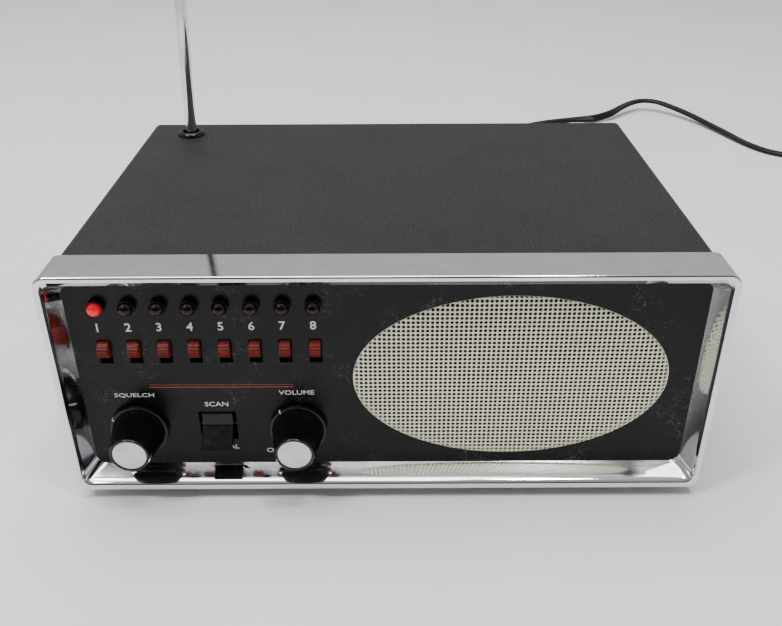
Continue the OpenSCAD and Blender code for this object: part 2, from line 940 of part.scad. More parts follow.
module lamp_lens(i) {
    r = lamp_d / 2;
    translate([channel_x(i), channel_board_y, lamp_z])
        rotate([90, 0, 0])
            rotate_extrude()
                difference() {
                    union() {
                        square([r, channel_board_y - panel_y]);
                        square([r + collar_wall + lens_flange, channel_board_y - panel_back
                                - collar_depth]);
                        translate([0, channel_board_y - panel_y + lamp_proud - r])
                            circle(r);
                    }
                    translate([-2 * r, -r])
                        square([2 * r, 8 * r]);
                }
}

module lamp_lens_1() {
    color("#e8202c")
    lamp_lens(0);
}

module lamp_lenses_2_to_8() {
    color("#3c0a0c")
    for (i = [1 : channels - 1])
        lamp_lens(i);
}

module channel_switch_bodies() {
    half_w = slide_w / 2 + carriage_side + free + switch_wall;
    top = slide_z + slide_h / 2 + carriage_side + free + switch_wall;
    bottom = slide_z - slide_h / 2 - slide_travel - carriage_side - free - switch_wall;
    color("#30302e")
    for (i = [0 : channels - 1])
        difference() {
            span([channel_x(i) - half_w, panel_back, bottom],
                 [channel_x(i) + half_w, channel_board_y, top]);
            span([channel_x(i) - half_w + switch_wall, panel_back - eps, bottom + switch_wall],
                 [channel_x(i) + half_w - switch_wall, channel_board_y - switch_wall,
                  top - switch_wall]);
        }
}

module channel_slide(i) {
    x = channel_x(i);
    front = panel_y - slide_proud;
    back = panel_back + slide_depth;
    rib_pitch = slide_h / slide_ribs;
    color("#a83a2c")
    if (i < channels)
        difference() {
            union() {
                span([x - slide_w / 2, front, slide_z - slide_h / 2],
                     [x + slide_w / 2, back, slide_z + slide_h / 2]);
                span([x - slide_w / 2 - carriage_side, back - carriage_t,
                      slide_z - slide_h / 2 - carriage_side],
                     [x + slide_w / 2 + carriage_side, back, slide_z + slide_h / 2
                      + carriage_side]);
            }
            for (k = [1 : slide_ribs - 1])
                span([x - slide_w / 2 - eps, front - eps,
                      slide_z - slide_h / 2 + k * rib_pitch - rib_depth / 2],
                     [x + slide_w / 2 + eps, front + rib_depth,
                      slide_z - slide_h / 2 + k * rib_pitch + rib_depth / 2]);
        }
}

module channel_slide_1() { channel_slide(0); }
module channel_slide_2() { channel_slide(1); }
module channel_slide_3() { channel_slide(2); }
module channel_slide_4() { channel_slide(3); }
module channel_slide_5() { channel_slide(4); }
module channel_slide_6() { channel_slide(5); }
module channel_slide_7() { channel_slide(6); }
module channel_slide_8() { channel_slide(7); }

// ---- rotary controls ----

module pot(x, depth) {
    color("#a7a9a5")
    difference() {
        union() {
            rod(pot_r, panel_back, panel_back + depth, x, knob_z);
            rod(bushing_r, panel_y - bushing_proud, panel_back + eps, x, knob_z);
        }
        rod(shaft_d / 2 + fit, panel_y - bushing_proud - eps, panel_back + shaft_in, x, knob_z);
    }
}

module squelch_pot() { pot(squelch_x, pot_depth); }
module volume_pot() { pot(volume_x, pot_depth + pot_switch_depth); }

module shaft(x) {
    color("#c9c9c4")
    rod(shaft_d / 2, panel_y - shaft_out, panel_back + shaft_in - fit, x, knob_z);
}

module squelch_shaft() { shaft(squelch_x); }
module volume_shaft() { shaft(volume_x); }

module knob(x) {
    skirt_back = panel_y - knob_gap;
    skirt_front = skirt_back - knob_skirt_t;
    color("#151515")
    difference() {
        union() {
            rod(knob_skirt_d / 2, skirt_front, skirt_back, x, knob_z);
            translate([x, skirt_front + eps, knob_z])
                rotate([90, 0, 0])
                    cylinder(r1 = knob_body_d / 2, r2 = knob_front_d / 2,
                             h = skirt_front + eps - knob_face_y);
        }
        rod(knob_hollow_r, skirt_back - knob_hollow_depth, skirt_back + eps, x, knob_z);
        rod(shaft_d / 2, panel_y - shaft_out, skirt_back, x, knob_z);
        rod(knob_cap_d / 2, knob_face_y - eps, knob_face_y + knob_rim_proud + knob_cap_t, x,
            knob_z);
    }
}

module squelch_knob() { knob(squelch_x); }
module volume_knob() { knob(volume_x); }

module knob_cap(x) {
    color("#d9d9d6")
    rod(knob_cap_d / 2, knob_face_y + knob_rim_proud, knob_face_y + knob_rim_proud + knob_cap_t,
        x, knob_z);
}

module squelch_knob_cap() { knob_cap(squelch_x); }
module volume_knob_cap() { knob_cap(volume_x); }

// ---- rocker ----

module rocker_frame() {
    half_w = rocker_w / 2 + rocker_slot_side;
    half_h = rocker_h / 2 + rocker_slot_end;
    y1 = panel_back + rocker_depth;
    color("#181818")
    difference() {
        span([rocker_x - half_w - rocker_wall, panel_back, rocker_z - half_h - rocker_wall],
             [rocker_x + half_w + rocker_wall, y1, rocker_z + half_h + rocker_wall]);
        rocker_opening(panel_back - eps, y1 - rocker_wall);
        translate([rocker_x, panel_y + rocker_pivot_in, rocker_z])
            rotate([0, 90, 0])
                cylinder(r = trunnion_r + fit, h = 2 * (half_w + rocker_wall) + 2 * eps,
                         center = true);
    }
}

module rocker_paddle() {
    half_h = rocker_h / 2;
    pin_half = rocker_w / 2 + rocker_slot_side + rocker_wall;
    color("#0e0e0e")
    translate([rocker_x, panel_y + rocker_pivot_in, rocker_z])
        union() {
            rotate([90, 0, 90])
                linear_extrude(rocker_w, center = true)
                    polygon([
                        [-rocker_pivot_in - rocker_top_out, half_h],
                        [-rocker_pivot_in - rocker_valley_out, rocker_valley_up],
                        [-rocker_pivot_in - rocker_tip_out, -half_h],
                        [-panel_t, gap - half_h],
                        [rocker_back, -half_h / 2],
                        [rocker_back, half_h / 2],
                        [0, half_h]
                    ]);
            rotate([0, 90, 0])
                cylinder(r = trunnion_r, h = 2 * pin_half, center = true);
        }
}

// ---- antenna ----

// The frame of the plugged-in antenna: its axis passes the cover's top at the grommet
module antenna_lean() {
    translate([ant_x, ant_y, cover_top])
        rotate([0, ant_lean, 0])
            children();
}

module antenna_grommet() {
    outer = ant_hole_r + grommet_wall;
    color("#101010")
    translate([ant_x, ant_y, cover_top])
        rotate_extrude()
            polygon([
                [ant_hole_r, -cover_wall - grommet_proud],
                [outer + grommet_rim, -cover_wall - grommet_proud],
                [outer + grommet_rim, -cover_wall],
                [outer, -cover_wall],
                [outer, 0],
                [outer + grommet_rim, 0],
                [outer + grommet_rim - grommet_round, grommet_proud - grommet_round],
                [outer + grommet_round, grommet_proud],
                [ant_hole_r, grommet_proud]
            ]);
}

module antenna_socket() {
    low = ant_base - socket_floor;
    low_x = ant_x + (low - cover_top) * tan(ant_lean);
    color("#7a4a2a")
    difference() {
        union() {
            antenna_lean()
                translate([0, 0, low - cover_top])
                    cylinder(r = socket_r, h = socket_top - low);
            span([low_x - bracket_half_w, ant_y, low + 1],
                 [low_x + bracket_half_w, rear_in, low + 1 + bracket_t]);
        }
        antenna_lean()
            translate([0, 0, ant_base - cover_top])
                cylinder(r = ant_d / 2 + fit, h = socket_depth + 4);
    }
}

// Tube n, counted from 0 outside, stored closed
module antenna_tube(n, solid_rod = false) {
    r = ant_d / 2 - n * (ant_wall + fit);
    low = ant_base - cover_top + n * ant_lift;
    high = ant_base - cover_top + ant_length + n * ant_step;
    color("#d3d5d6")
    antenna_lean()
        difference() {
            translate([0, 0, low])
                cylinder(r = r, h = high - low);
            if (!solid_rod)
                translate([0, 0, low + 1])
                    cylinder(r = r - ant_wall, h = high - low);
        }
}

module antenna_section_1() { antenna_tube(0); }
module antenna_section_2() { antenna_tube(1); }
module antenna_section_3() { antenna_tube(2); }

module antenna_section_4() {
    top = ant_base - cover_top + ant_length + 3 * ant_step;
    color("#d3d5d6")
    union() {
        antenna_tube(3, true);
        antenna_lean()
            translate([0, 0, top - eps])
                union() {
                    cylinder(r = ant_tip_r, h = ant_tip_h);
                    translate([0, 0, ant_tip_h - 1])
                        sphere(ant_tip_r);
                }
    }
}

// ---- rear fittings ----

module antenna_jack() {
    color("#c4c6c8")
    difference() {
        union() {
            plate(jack_plate, jack_plate, 2, rear_out, rear_out + jack_plate_t, jack_x, jack_z);
            rod(jack_neck_r, rear_in - jack_depth, rear_out + eps, jack_x, jack_z);
            rod(jack_r, rear_out, back_y + rear_reach, jack_x, jack_z);
        }
        rod(jack_bore_r, rear_out, back_y + rear_reach + eps, jack_x, jack_z);
        difference() {
            rod(jack_r - jack_shell, back_y + rear_reach - jack_mouth, back_y + rear_reach + eps,
                jack_x, jack_z);
            rod(jack_bore_r + jack_centre_wall, back_y + rear_reach - 2 * jack_mouth,
                back_y + rear_reach + 2 * eps, jack_x, jack_z);
        }
    }
}

module speaker_jack() {
    color("#b5b7b8")
    difference() {
        union() {
            rod(ear_jack_barrel_r, rear_in - ear_jack_depth, rear_out + ear_jack_proud,
                ear_jack_x, jack_z);
            rod(ear_jack_nut_r, rear_out, rear_out + ear_jack_nut_t, ear_jack_x, jack_z);
        }
        rod(ear_jack_r, rear_in - ear_jack_depth + 1, rear_out + ear_jack_proud + eps,
            ear_jack_x, jack_z);
    }
}

module fuse_holder() {
    color("#1a1a1a")
    union() {
        rod(fuse_r, rear_in - fuse_depth, rear_out + eps, fuse_x, fuse_z);
        rod(fuse_cap_r, rear_out, rear_out + fuse_cap_h, fuse_x, fuse_z);
    }
}

module strain_relief() {
    color("#141414")
    translate([cord_exit[0], rear_out, cord_exit[2]])
        rotate([-90, 0, 0])
            union() {
                translate([0, 0, -tray_t - relief_inside])
                    cylinder(r = relief_r - 1, h = relief_inside);
                translate([0, 0, -tray_t])
                    cylinder(r = relief_r, h = tray_t + eps);
                cylinder(r = relief_head_r, h = relief_head_t);
                cylinder(r1 = relief_r, r2 = relief_end_r, h = cord_exit[1] - rear_out);
            }
}

// ---- mains cord ----

function unit(v) = v / norm(v);

// A smooth curve through b and c, with a and d as their neighbours
function through(a, b, c, d, t) =
    0.5 * (2 * b + (c - a) * t + (2 * a - 5 * b + 4 * c - d) * t * t
           + (3 * b - a - 3 * c + d) * t * t * t);

function before(p, i) = i > 0 ? p[i - 1] : 2 * p[0] - p[1];
function after(p, i) = i < len(p) - 1 ? p[i + 1] : 2 * p[i] - p[i - 1];

function smooth(p, steps) = [
    for (i = [0 : len(p) - 2], k = [0 : steps - 1])
        through(before(p, i), p[i], p[i + 1], after(p, i + 1), k / steps),
    p[len(p) - 1]
];

function heading(line, i) = unit(after(line, i) - before(line, i));

function cord_ring(line, i) =
    let (ahead = i == 0 ? [0, 1, 0] : heading(line, i),
         side = unit(cross(ahead, [0, 0, 1])),
         up = cross(side, ahead))
    [for (k = [0 : cord_sides - 1])
        line[i] + side * cord_w / 2 * cos(360 * k / cord_sides)
                + up * cord_t / 2 * sin(360 * k / cord_sides)];

function cord_wall_faces(rings) = [
    for (i = [0 : rings - 2], k = [0 : cord_sides - 1], half = [0, 1])
        let (m = (k + 1) % cord_sides,
             a = i * cord_sides + k,
             b = i * cord_sides + m)
        half == 0 ? [a, a + cord_sides, b] : [b, a + cord_sides, b + cord_sides]
];

module power_cord() {
    line = smooth(CORD_ROUTE, cord_steps);
    rings = len(line);
    last = (rings - 1) * cord_sides;
    color("#161616")
    polyhedron(
        points = [for (i = [0 : rings - 1], p = cord_ring(line, i)) p],
        faces = concat(
            [[for (k = [0 : cord_sides - 1]) k]],
            cord_wall_faces(rings),
            [[for (k = [cord_sides - 1 : -1 : 0]) last + k]]
        )
    );
}

module cord_coil() {
    color("#161616")
    translate([coil_at[0], coil_at[1], 0])
        rotate_extrude()
            translate([coil_r - coil_half, 0])
                square([2 * coil_half, coil_h]);
}

module plug_body() {
    relief_end = plug_back_y - plug_relief_l;
    plug_end = relief_end - plug_l;
    color("#161616")
    difference() {
        union() {
            translate([plug_x, plug_back_y, plug_h / 2])
                rotate([90, 0, 0])
                    cylinder(r1 = plug_relief_r, r2 = plug_relief_big_r, h = plug_relief_l + eps);
            translate([plug_x, 0, 0])
                linear_extrude(plug_h)
                    polygon([
                        [-plug_relief_big_r, relief_end],
                        [plug_relief_big_r, relief_end],
                        [plug_w / 2, relief_end - plug_shoulder],
                        [plug_nose_w / 2, plug_end],
                        [-plug_nose_w / 2, plug_end],
                        [-plug_w / 2, relief_end - plug_shoulder]
                    ]);
        }
        blades(0);
    }
}

module blades(proud) {
    plug_end = plug_back_y - plug_relief_l - plug_l;
    for (sx = [-1, 1])
        span([plug_x + sx * blade_pitch / 2 - blade_t / 2, plug_end - proud - eps,
              plug_h / 2 - blade_w / 2],
             [plug_x + sx * blade_pitch / 2 + blade_t / 2, plug_end + blade_root,
              plug_h / 2 + blade_w / 2]);
}

module plug_blades() {
    color("#cfae5a")
    blades(blade_l);
}

bezel();
front_panel();
speaker_grille();
cabinet_cover();
chassis_tray();
rear_panel();
rubber_feet();
case_screws();
speaker_frame();
speaker_cone();
speaker_magnet();
panel_fasteners();
main_board();
board_standoffs();
crystal_sockets();
crystals();
transformer_core();
transformer_winding();
filter_capacitor();
if_cans();
board_parts();
heat_sink();
channel_board();
lamp_collars();
lamp_lens_1();
lamp_lenses_2_to_8();
channel_switch_bodies();
channel_slide_1();
channel_slide_2();
channel_slide_3();
channel_slide_4();
channel_slide_5();
channel_slide_6();
channel_slide_7();
channel_slide_8();
squelch_pot();
volume_pot();
squelch_shaft();
volume_shaft();
squelch_knob();
volume_knob();
squelch_knob_cap();
volume_knob_cap();
rocker_frame();
rocker_paddle();
antenna_grommet();
antenna_socket();
antenna_section_1();
antenna_section_2();
antenna_section_3();
antenna_section_4();
antenna_jack();
speaker_jack();
fuse_holder();
strain_relief();
power_cord();
cord_coil();
plug_body();
plug_blades();
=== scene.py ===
"""Looks of an eight-channel desk-top scanning receiver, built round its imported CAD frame.

Shapes are worked in millimetres, in the CAD frame: +X right, +Y back, +Z up, with the
standing surface at 0. A piece's mesh turns to metres when it is finished.
"""

import functools
import logging
import math
from collections.abc import Callable, Iterable, Sequence
from dataclasses import dataclass, field
from enum import Enum

import bmesh  # noqa: E402
import bpy  # noqa: E402
from mathutils import Matrix, Vector  # noqa: E402


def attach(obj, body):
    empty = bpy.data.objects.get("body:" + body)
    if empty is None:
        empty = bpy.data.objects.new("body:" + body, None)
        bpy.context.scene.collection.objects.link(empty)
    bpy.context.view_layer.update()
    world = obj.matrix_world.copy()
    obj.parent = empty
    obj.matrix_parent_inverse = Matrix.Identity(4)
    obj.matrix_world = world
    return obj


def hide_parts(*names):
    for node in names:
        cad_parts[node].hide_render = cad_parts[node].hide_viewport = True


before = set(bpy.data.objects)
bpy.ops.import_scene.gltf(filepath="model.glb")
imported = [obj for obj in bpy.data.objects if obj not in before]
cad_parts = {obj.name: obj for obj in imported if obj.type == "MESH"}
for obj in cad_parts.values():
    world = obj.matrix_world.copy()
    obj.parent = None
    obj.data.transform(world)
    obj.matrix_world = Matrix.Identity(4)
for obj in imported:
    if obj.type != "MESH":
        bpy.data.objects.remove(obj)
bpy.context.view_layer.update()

log = logging.getLogger("receiver")
MM = 0.001
FULL_TURN = 2 * math.pi
Colour = tuple[float, float, float]
Point = tuple[float, float, float]
Profile = Sequence[tuple[float, float]]


# ---------------------------------------------------------------- lines of the receiver


@dataclass(frozen=True)
class Lines:
    """Shared lines of the case, in millimetres."""

    face: float = -94.3
    panel: float = -84.5
    panel_back: float = -83.0
    bezel_back: float = -73.9
    back: float = 95.4
    rear: float = 92.4
    rear_inner: float = 91.2
    base: float = 5.0
    top: float = 111.6
    cover_top: float = 111.3
    middle: float = 58.3
    speaker_z: float = 57.8
    channel_left: float = -117.3
    channel_pitch: float = 12.5
    channels: int = 8
    lamp_z: float = 93.8
    slide_z: float = 73.3
    knob_z: float = 32.7
    squelch_x: float = -108.3
    volume_x: float = -39.1
    rocker_x: float = -74.1
    rocker_z: float = 33.35

    def channel(self, index: int) -> float:
        """Gives the X of a channel, counted from 0."""
        return self.channel_left + index * self.channel_pitch


LINES = Lines()


class Axis(Enum):
    """Which way a turned profile's height runs."""

    BACK = "Y"
    UP = "Z"

    def at(self, x: float, y: float, z: float) -> Matrix:
        """Gives the matrix that stands a turned shape's axis at a point.

        Args:
            x: across.
            y: back.
            z: up.

        Returns:
            The matrix from the profile's own frame.
        """
        turn = Matrix.Rotation(-math.pi / 2, 4, "X") if self is Axis.BACK else Matrix()
        return Matrix.Translation((x, y, z)) @ turn


# ---------------------------------------------------------------- materials


class Graph:
    """A material's nodes, with shorthand for those that the finishes share."""

    def __init__(self, name: str) -> None:
        """Starts a material with an empty principled shader.

        Args:
            name: the material's name.
        """
        self.material = bpy.data.materials.new(name)
        self.material.use_nodes = True
        tree = self.material.node_tree
        self.nodes, self.links = tree.nodes, tree.links
        self.nodes.clear()
        self.shader = self.put("ShaderNodeBsdfPrincipled")
        self.put("ShaderNodeOutputMaterial", {"Surface": self.shader.outputs[0]})
        place = self.put("ShaderNodeTexCoord").outputs["Object"]
        self.place = self.vector("SCALE", place, Scale=1 / MM)

    def put(self, kind: str, inputs: dict | None = None, **settings) -> bpy.types.Node:
        """Adds a node.

        Args:
            kind: the node's type.
            inputs: socket name or number to a value or to another node's output.
            settings: the node's own properties.

        Returns:
            The node.
        """
        node = self.nodes.new(kind)
        for key, value in settings.items():
            setattr(node, key, value)
        for key, value in (inputs or {}).items():
            if isinstance(value, bpy.types.NodeSocket):
                self.links.new(value, node.inputs[key])
            else:
                node.inputs[key].default_value = value
        return node

    def vector(self, operation: str, first, second=None, **inputs) -> bpy.types.NodeSocket:
        """Works on vectors and gives the node's first output."""
        sockets = {0: first, **inputs}
        if second is not None:
            sockets[1] = second
        node = self.put("ShaderNodeVectorMath", operation=operation)
        for key, value in sockets.items():
            if isinstance(value, bpy.types.NodeSocket):
                self.links.new(value, node.inputs[key])
            else:
                node.inputs[key].default_value = value
        return node.outputs["Value" if operation == "LENGTH" else "Vector"]

    def math(self, operation: str, first, second=0.0) -> bpy.types.NodeSocket:
        """Works on two numbers and gives the result."""
        node = self.put("ShaderNodeMath", {0: first, 1: second}, operation=operation)
        return node.outputs[0]

    def mapped(self, stretch: Point = (1, 1, 1), centre: Point = (0, 0, 0)) -> bpy.types.NodeSocket:
        """Gives the place on the piece, centred on a point and stretched."""
        moved = self.vector("SUBTRACT", self.place, centre)
        return self.vector("DIVIDE", moved, stretch)

    def noise(self, size: float, detail: float = 3, roughness: float = 0.55,
              where=None, distortion: float = 0) -> bpy.types.NodeSocket:
        """Gives cloudy noise from 0 to 1 whose features are about size mm."""
        node = self.put("ShaderNodeTexNoise", {
            "Vector": where or self.place, "Scale": 1 / size, "Detail": detail,
            "Roughness": roughness, "Distortion": distortion})
        return node.outputs[0]

    def cells(self, size: float, feature: str = "F1", where=None,
              randomness: float = 1) -> bpy.types.NodeSocket:
        """Gives the distance within cells of about size mm."""
        node = self.put("ShaderNodeTexVoronoi", {
            "Vector": where or self.place, "Scale": 1 / size, "Randomness": randomness},
            feature=feature)
        return node.outputs[0]

    def ranged(self, value, low: float, high: float, start: float = 0,
               end: float = 1) -> bpy.types.NodeSocket:
        """Turns low to high into start to end, and holds it there."""
        node = self.put("ShaderNodeMapRange", {
            0: value, 1: low, 2: high, 3: start, 4: end}, clamp=True)
        return node.outputs[0]

    def blend(self, share, first, second) -> bpy.types.NodeSocket:
        """Mixes two colours, each a colour or an output."""
        def full(colour: Colour | bpy.types.NodeSocket) -> tuple | bpy.types.NodeSocket:
            """Gives an output as it is, or a colour with its alpha."""
            return colour if isinstance(colour, bpy.types.NodeSocket) else (*colour, 1)
        node = self.put("ShaderNodeMix", {0: share, 6: full(first), 7: full(second)},
                        data_type="RGBA")
        return node.outputs[2]

    def raise_by(self, height, depth: float, before=None,
                 strength: float = 1) -> bpy.types.NodeSocket:
        """Gives the normal of a relief whose full height is depth mm."""
        inputs = {"Height": height, "Distance": depth * MM, "Strength": strength}
        if before is not None:
            inputs["Normal"] = before
        return self.put("ShaderNodeBump", inputs).outputs[0]

    def wire(self, **sockets) -> None:
        """Links or sets the shader's own sockets, named with _ for a space."""
        for key, value in sockets.items():
            socket = self.shader.inputs[key.replace("_", " ")]
            if isinstance(value, bpy.types.NodeSocket):
                self.links.new(value, socket)
            else:
                socket.default_value = value


@dataclass(frozen=True)
class Finish:
    """A finish of two mottled colours, with a range of gloss, a fine relief and dust."""

    name: str
    colour: Colour
    second: Colour
    gloss: tuple[float, float] = (0.35, 0.5)
    metallic: float = 0.0
    patch: float = 9.0
    grain: float = 0.5
    depth: float = 0.01
    dust: float = 0.0
    specular: float = 0.5
    coat: float = 0.0

    def material(self) -> bpy.types.Material:
        """Gives the finish's material, made once."""
        return made_material(self)

    def draw(self, graph: Graph) -> None:
        """Draws the finish's nodes.

        Args:
            graph: the material that it draws in.
        """
        clouds = graph.noise(self.patch)
        base = graph.blend(graph.ranged(clouds, 0.35, 0.65), self.colour, self.second)
        if self.dust:
            base = self.dusted(graph, base)
        gloss = graph.ranged(graph.noise(self.patch * 0.6, 4), 0.3, 0.7, *self.gloss)
        relief = graph.raise_by(graph.noise(self.grain, 2), self.depth)
        graph.wire(Base_Color=base, Roughness=gloss, Normal=relief, Metallic=self.metallic,
                   Specular_IOR_Level=self.specular, Coat_Weight=self.coat, Coat_Roughness=0.08)

    def dusted(self, graph: Graph, base: bpy.types.NodeSocket) -> bpy.types.NodeSocket:
        """Scatters pale specks of dust over a colour.

        Args:
            graph: the material.
            base: the colour below.

        Returns:
            The dusted colour.
        """
        speck = graph.ranged(graph.cells(1.7), 0.05, 0.11, 1, 0)
        patch = graph.ranged(graph.noise(17, 4), 0.5, 0.68)
        share = graph.math("MULTIPLY", graph.math("MULTIPLY", speck, patch), self.dust)
        return graph.blend(share, base, (0.32, 0.31, 0.29))


@functools.cache
def made_material(finish: Finish) -> bpy.types.Material:
    """Makes a finish's material.

    Args:
        finish: the finish.

    Returns:
        Its material, the same one each time.
    """
    graph = Graph(finish.name)
    finish.draw(graph)
    return graph.material


@dataclass(frozen=True)
class Chrome(Finish):
    """Bright plating, a little wavy, with smears, fine pits and hairlines."""

    waves: float = 0.02

    def draw(self, graph: Graph) -> None:
        """Draws the plating.

        Args:
            graph: the material that it draws in.
        """
        smear = graph.noise(14, 5, 0.6, graph.mapped((1, 0.5, 1)))
        pit = graph.ranged(graph.cells(3.1), 0.05, 0.09, 1, 0)
        pit = graph.math("MULTIPLY", pit, graph.ranged(graph.noise(11), 0.52, 0.6))
        hair = graph.math("ABSOLUTE", graph.math("SUBTRACT", graph.noise(6, 2), 0.5))
        hair = graph.ranged(hair, 0.0, 0.004, 1, 0)
        hair = graph.math("MULTIPLY", hair, graph.ranged(graph.noise(23), 0.55, 0.65))
        gloss = graph.ranged(smear, 0.35, 0.75, *self.gloss)
        gloss = graph.math("ADD", gloss, graph.math("MULTIPLY", hair, 0.12))
        base = graph.blend(graph.ranged(smear, 0.3, 0.75), self.colour, self.second)
        base = graph.blend(graph.math("MULTIPLY", pit, 0.8), base, (0.09, 0.085, 0.08))
        relief = graph.raise_by(graph.noise(self.patch, 1), self.waves)
        relief = graph.raise_by(graph.math("SUBTRACT", 1, pit), 0.05, relief)
        graph.wire(Base_Color=base, Roughness=gloss, Normal=relief, Metallic=1.0)


@dataclass(frozen=True)
class Enamel(Finish):
    """Semi-gloss paint with rubbed patches, wandering hairlines and dust."""

    def draw(self, graph: Graph) -> None:
        """Draws the paint.

        Args:
            graph: the material that it draws in.
        """
        base = graph.blend(graph.noise(self.patch), self.colour, self.second)
        line = graph.math("ABSOLUTE", graph.math("SUBTRACT", graph.noise(13, 5, 0.62), 0.5))
        line = graph.ranged(line, 0.0, 0.0045, 1, 0)
        near = graph.ranged(graph.noise(21, 2, 0.5, graph.mapped(centre=(31, 0, 12))), 0.5, 0.64)
        line = graph.math("MULTIPLY", line, near)
        scuff = graph.math("MULTIPLY", graph.ranged(graph.noise(0.9, 5, 0.7), 0.58, 0.74), near)
        worn = graph.math("MINIMUM", graph.math("ADD", line, scuff), 1)
        base = graph.blend(graph.math("MULTIPLY", worn, 0.42), base, (0.34, 0.33, 0.31))
        base = self.dusted(graph, base)
        gloss = graph.ranged(graph.noise(15, 4), 0.3, 0.7, *self.gloss)
        gloss = graph.math("ADD", gloss, graph.math("MULTIPLY", worn, 0.2))
        relief = graph.raise_by(graph.noise(self.grain, 3), self.depth)
        graph.wire(Base_Color=base, Roughness=gloss, Normal=relief,
                   Specular_IOR_Level=self.specular)


@dataclass(frozen=True)
class Leather(Finish):
    """Vinyl cloth with a pressed leather grain of pebbles and fine creases, the creases darkened
    with painted shade.
    """

    pebble: float = 1.5

    def draw(self, graph: Graph) -> None:
        """Draws the grain, with painted shade in its creases.

        Args:
            graph: the material that it draws in.
        """
        bent = graph.put("ShaderNodeTexNoise", {"Vector": graph.place, "Scale": 0.55,
                                                "Detail": 2}).outputs["Color"]
        where = graph.vector("ADD", graph.vector("SCALE", graph.place, Scale=1.0),
                             graph.vector("SCALE", bent, Scale=1.4))
        crease = graph.ranged(graph.cells(self.pebble, "DISTANCE_TO_EDGE", where), 0, 0.22)
        fold = graph.noise(0.55, 4, 0.65, where, 0.6)
        height = graph.math("ADD", crease, graph.math("MULTIPLY", fold, 0.8))
        base = graph.blend(graph.ranged(graph.noise(self.patch, 4), 0.35, 0.65),
                           self.colour, self.second)
        # Painted shade: the creases between the pebbles are darkened in the colour.
        base = graph.blend(graph.ranged(crease, 0, 0.6, 0.55, 0), base, (0.006, 0.006, 0.007))
        base = self.dusted(graph, base)
        gloss = graph.ranged(height, 0.3, 1.6, self.gloss[1], self.gloss[0])
        relief = graph.raise_by(height, self.depth)
        relief = graph.raise_by(graph.noise(24, 2), 0.12, relief)
        graph.wire(Base_Color=base, Roughness=gloss, Normal=relief,
                   Specular_IOR_Level=self.specular)


@dataclass(frozen=True)
class SpunDisc(Finish):
    """Aluminium turned on a lathe: fine rings round an axis along Y, with a darker bow-tie band of
    painted shade standing in for its spun highlight.
    """

    centre: Point = (0, 0, 0)

    def draw(self, graph: Graph) -> None:
        """Draws the turned rings and the painted bow-tie shade.

        Args:
            graph: the material that it draws in.
        """
        offset = graph.mapped((1, 1e6, 1), self.centre)
        radius = graph.vector("LENGTH", offset)
        rings = graph.put("ShaderNodeTexNoise", {"W": radius, "Scale": 9.0, "Detail": 4},
                          noise_dimensions="1D").outputs[0]
        split = graph.put("ShaderNodeSeparateXYZ", {0: offset})
        angle = graph.math("ARCTAN2", split.outputs[0], split.outputs[2])
        # Painted shade: a darker bow-tie band round the axis stands in for the spun metal's
        # reflection.
        painted_bowtie_shade = graph.math("ABSOLUTE", graph.math("COSINE", graph.math("ADD", angle, 0.5)))
        painted_bowtie_shade = graph.math("POWER", painted_bowtie_shade, 5.0)
        base = graph.blend(rings, self.colour, self.second)
        base = graph.blend(graph.math("MULTIPLY", painted_bowtie_shade, 0.22), base, (0.34, 0.34, 0.33))
        base = self.dusted(graph, base)
        gloss = graph.ranged(rings, 0.3, 0.7, *self.gloss)
        relief = graph.raise_by(rings, self.depth)
        graph.wire(Base_Color=base, Roughness=gloss, Normal=relief, Metallic=self.metallic)


@dataclass(frozen=True)
class Glow(Finish):
    """A lit red lens: hot in the middle and deeper red at the rim."""

    centre: Point = (0, 0, 0)
    reach: float = 3.4
    power: float = 2.2

    def draw(self, graph: Graph) -> None:
        """Draws the glow.

        Args:
            graph: the material that it draws in.
        """
        off = graph.vector("LENGTH", graph.mapped((1, 1e6, 1), self.centre))
        rim = graph.ranged(off, self.reach * 0.35, self.reach)
        cloud = graph.ranged(graph.noise(1.3), 0.3, 0.7, -0.08, 0.08)
        rim = graph.math("ADD", rim, cloud)
        light = graph.blend(rim, self.colour, self.second)
        graph.wire(Base_Color=light, Emission_Color=light, Roughness=0.16,
                   Emission_Strength=self.power, Specular_IOR_Level=0.5)


@dataclass(frozen=True)
class Board(Finish):
    """A printed board: solder mask over wandering tracks, with a woven glass relief."""

    def draw(self, graph: Graph) -> None:
        """Draws the board.

        Args:
            graph: the material that it draws in.
        """
        tracks = graph.cells(7, "DISTANCE_TO_EDGE", graph.mapped((1, 0.6, 1)), 0.25)
        tracks = graph.ranged(tracks, 0.06, 0.09, 1, 0)
        base = graph.blend(graph.noise(self.patch), self.colour, self.second)
        base = graph.blend(graph.math("MULTIPLY", tracks, 0.7), base, (0.32, 0.34, 0.1))
        weave = graph.noise(self.grain, 2, 0.5, graph.mapped((4, 0.7, 1)))
        relief = graph.raise_by(graph.math("ADD", weave, tracks), self.depth)
        gloss = graph.ranged(weave, 0.3, 0.7, *self.gloss)
        graph.wire(Base_Color=base, Roughness=gloss, Normal=relief)


@dataclass(frozen=True)
class Layered(Finish):
    """Stacked sheets or wound tape: bands along one axis."""

    band: float = 0.5
    along: Point = (1e6, 1, 1e6)

    def draw(self, graph: Graph) -> None:
        """Draws the bands.

        Args:
            graph: the material that it draws in.
        """
        bands = graph.noise(self.band, 2, 0.5, graph.mapped(self.along))
        base = graph.blend(graph.ranged(bands, 0.35, 0.65), self.colour, self.second)
        gloss = graph.ranged(graph.noise(self.patch, 4), 0.3, 0.7, *self.gloss)
        relief = graph.raise_by(bands, self.depth)
        graph.wire(Base_Color=base, Roughness=gloss, Normal=relief, Metallic=self.metallic)


